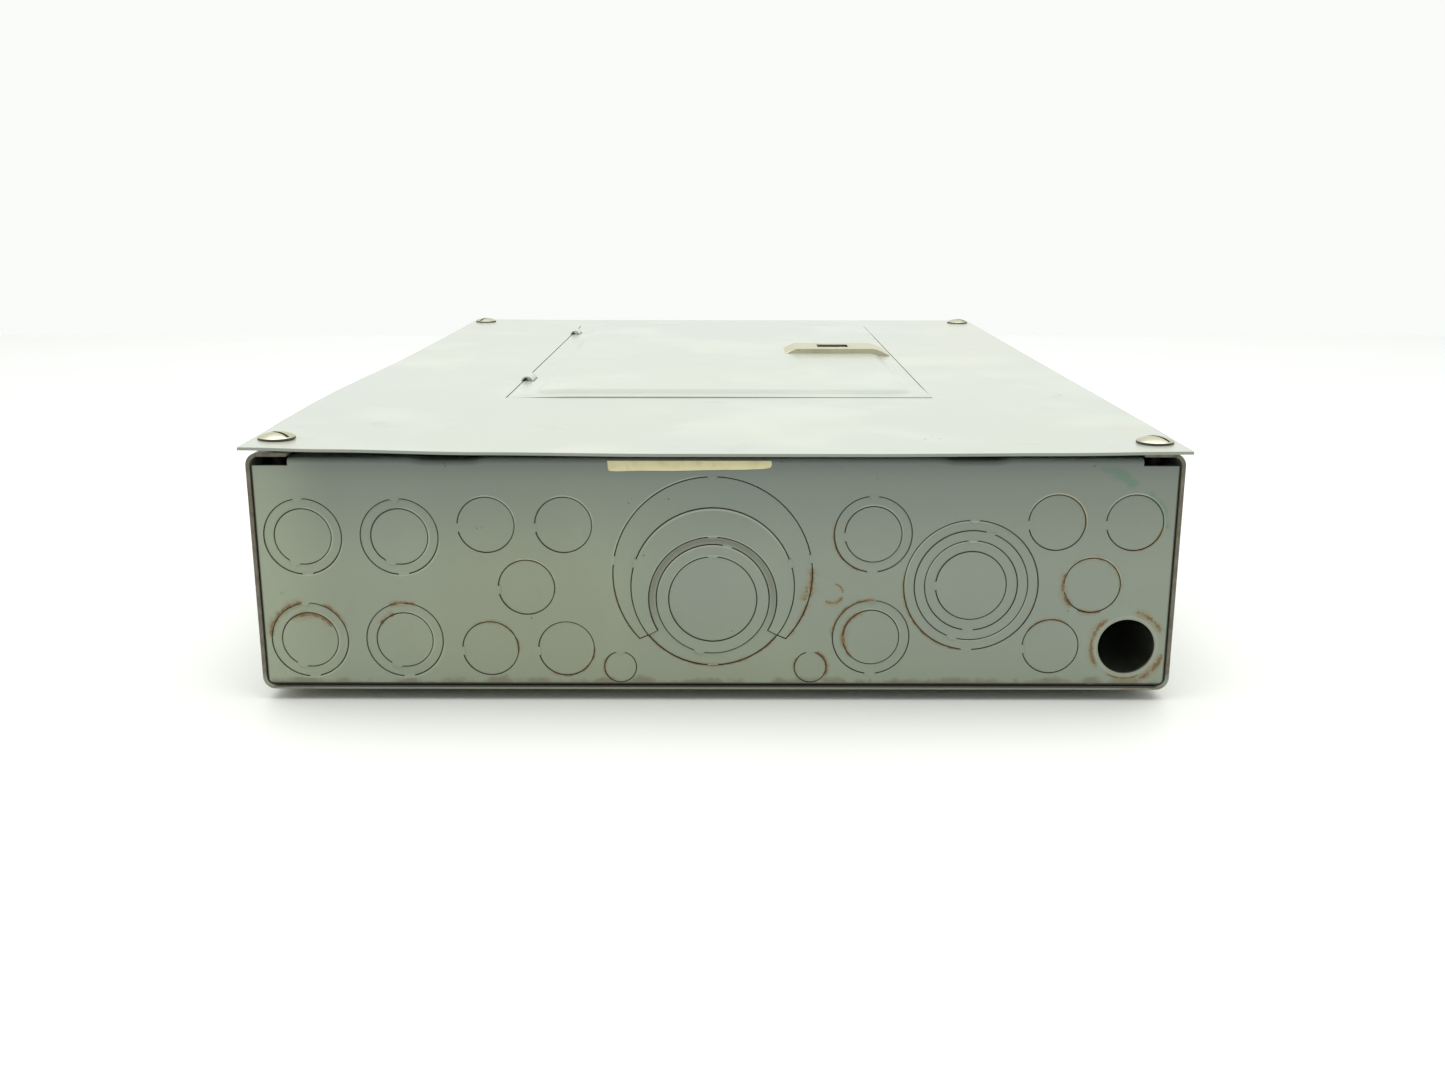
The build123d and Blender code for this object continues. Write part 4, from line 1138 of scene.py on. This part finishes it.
def screw_head(x, y, z, angle):
    """A screw with a slotted dome, seated at x, y, z, in millimetres."""
    blank = link(bpy.data.objects.new("head", turned_mesh(SCREW_PROFILE, SCREW_TURNS)))
    cutter_mesh = bpy.data.meshes.new("slot")
    cutter = bmesh.new()
    bmesh.ops.create_cube(cutter, size=1.0)
    bmesh.ops.scale(cutter, vec=SLOT_SIZE, verts=cutter.verts)
    bmesh.ops.translate(cutter, vec=(0, 0, SLOT_FLOOR + SLOT_SIZE[2] / 2), verts=cutter.verts)
    cutter.to_mesh(cutter_mesh)
    cutter.free()
    tool = link(bpy.data.objects.new("slot", cutter_mesh))
    tool.rotation_euler = (0, 0, math.radians(angle))
    cut = blank.modifiers.new("slot", "BOOLEAN")
    cut.operation = "DIFFERENCE"
    cut.object = tool
    cut.solver = "EXACT"
    bpy.context.view_layer.update()
    result = bpy.data.meshes.new_from_object(blank.evaluated_get(bpy.context.evaluated_depsgraph_get()))
    bpy.data.objects.remove(blank)
    bpy.data.objects.remove(tool)
    # slot walls, slot floor and the heads' rims take the second look: dirt and painted shade
    for polygon in result.polygons:
        upright = abs(polygon.normal.z) < 0.35
        slot_floor = abs(polygon.center.z - SLOT_FLOOR) < 0.02
        polygon.material_index = 1 if upright or slot_floor else 0
    result.transform(Matrix.Translation((x, y, z)))
    return result


def build_screws():
    """The four cover screws as one piece, each seated on the bowed cover."""
    heads = []
    for side, end, angle in SCREWS:
        x, y = side * SCREW_X, end * SCREW_Y
        lift = max(cover_lift(x, y) + 0.05, 0.02)
        heads.append(screw_head(x, y, COVER_TOP + lift, angle))
    name = "cover_screws_look"
    looks = ("nickel_steel", "dirt_and_shade")
    finished(name, joined(name, heads), looks, "enclosure", ("cover_screws",), 0.12)


def build_tape():
    """What is left of a strip of tape under the cover's edge."""
    top = WALL_TOP - 1.0
    torn = [(-41.2, 94.0), (-40.6, 93.5), (-38, 93.35), (-30, 93.6), (-16, 93.55)]
    torn += [(-2, 93.9), (10, 94.0), (19, 94.35), (21.2, 94.8), (21.9, 95.8)]
    outline = torn + [(21.7, top), (-41.5, top)]
    mesh = pressed([outline], 0.22, 0.05)
    mesh.transform(Matrix.Translation((0, FRONT_Y - 0.12, 0)))
    finished("tape_remnant", joined("tape_remnant", [mesh]), "tape", "enclosure")


build_cover()
build_door()
build_latch()
build_screws()
build_tape()

# --------------------------------------------- CAD pieces that keep their mesh
# how far each material's sharp edges are rounded
BEVELS = {
    "black_phenolic": 0.5, "handle_black": 0.6, "insulator_red": 0.5, "white_nylon": 0.5,
    "aluminium": 0.3, "tinned_copper": 0.2, "zinc_steel": 0.15, "grey_enamel": 0.2, "brass_strap": 0.15,
    "nickel_steel": 0.15, "grey_enamel_cover": 0.2, "card": 0.0,
}
slots = {row["node"]: row["material_slot"] for row in frame["record"]["subparts"]}
for node_name, obj in frame["nodes"].items():
    if obj.hide_render:
        continue
    slot_name = slots[node_name]
    look = "dark_steel" if node_name == "latch_slide" else slot_name
    obj.data.materials.clear()
    obj.data.materials.append(MATERIALS[look])
    weld = obj.modifiers.new("weld", "WELD")
    weld.merge_threshold = 0.000005
    if BEVELS[slot_name]:
        soften(obj, BEVELS[slot_name])


# ---------------------------------------------------------- floor and light
TABLE_BACK = 0.350
FLOOR_HALF, FLOOR_FRONT, FLOOR_BACK = 3.0, -3.0, 1.15
FLOOR_DROP = 0.0002


def floor_material():
    """Pale table with faint marks; its back part is a shade darker."""
    s = Surface("table", (0.80, 0.81, 0.78), 0.5)
    s.tint(s.ramp(s.noise(3, 3), 0.4, 0.7, 0.0, 0.25), (0.76, 0.77, 0.73))
    scuffs = s.noise(60, 4, 0.7, stretch=(1, 0.3, 1), distortion=1.5)
    s.tint(s.ramp(scuffs, 0.71, 0.78, 0.0, 0.2), (0.60, 0.61, 0.57))
    specks(s, 40, 0.035, (0.55, 0.50, 0.38), 0.5)
    back = s.part("Y")
    off_line = s.calc("ABSOLUTE", s.calc("SUBTRACT", back, TABLE_BACK))
    s.tint(s.ramp(off_line, 0.0, 0.0015, 0.25, 0.0), (0.45, 0.46, 0.44))
    s.tint(s.ramp(back, TABLE_BACK, TABLE_BACK + 0.002), (0.745, 0.755, 0.740))
    s.tint(s.ramp(back, 0.45, FLOOR_BACK, 0.0, 0.8), (0.79, 0.80, 0.785))
    return s.done()


floor_mesh = bpy.data.meshes.new("floor")
floor_corners = [(-FLOOR_HALF, FLOOR_FRONT), (FLOOR_HALF, FLOOR_FRONT)]
floor_corners += [(FLOOR_HALF, FLOOR_BACK), (-FLOOR_HALF, FLOOR_BACK)]
floor_mesh.from_pydata([(x, y, -FLOOR_DROP) for x, y in floor_corners], [], [(0, 1, 2, 3)])
floor_mesh.materials.append(floor_material())
floor = link(bpy.data.objects.new("floor", floor_mesh))


def area_light(name, at, aim, size, power):
    """A rectangular light, turned to the place that it is aimed at."""
    data = bpy.data.lights.new(name, "AREA")
    data.shape = "RECTANGLE"
    data.size, data.size_y = size
    data.energy = power
    lamp = link(bpy.data.objects.new(name, data))
    lamp.location = at
    lamp.rotation_euler = (Vector(aim) - Vector(at)).to_track_quat("-Z", "Y").to_euler()


area_light("overhead", (0.0, -0.22, 1.9), (0, -0.2, 0), (2.6, 2.2), 40)

world = bpy.data.worlds.new("studio")
bpy.context.scene.world = world
world.use_nodes = True
tree = world.node_tree
background = tree.nodes["Background"]
direction = tree.nodes.new("ShaderNodeTexCoord")
split = tree.nodes.new("ShaderNodeSeparateXYZ")
level = tree.nodes.new("ShaderNodeMapRange")
level.interpolation_type = "SMOOTHSTEP"
tree.links.new(direction.outputs["Generated"], split.inputs[0])
tree.links.new(split.outputs["Y"], level.inputs["Value"])
for socket, value in (("From Min", -0.8), ("From Max", 0.2), ("To Min", 0.55), ("To Max", 0.97)):
    level.inputs[socket].default_value = value
tree.links.new(level.outputs[0], background.inputs["Strength"])
background.inputs["Color"].default_value = (0.985, 1.0, 0.975, 1)
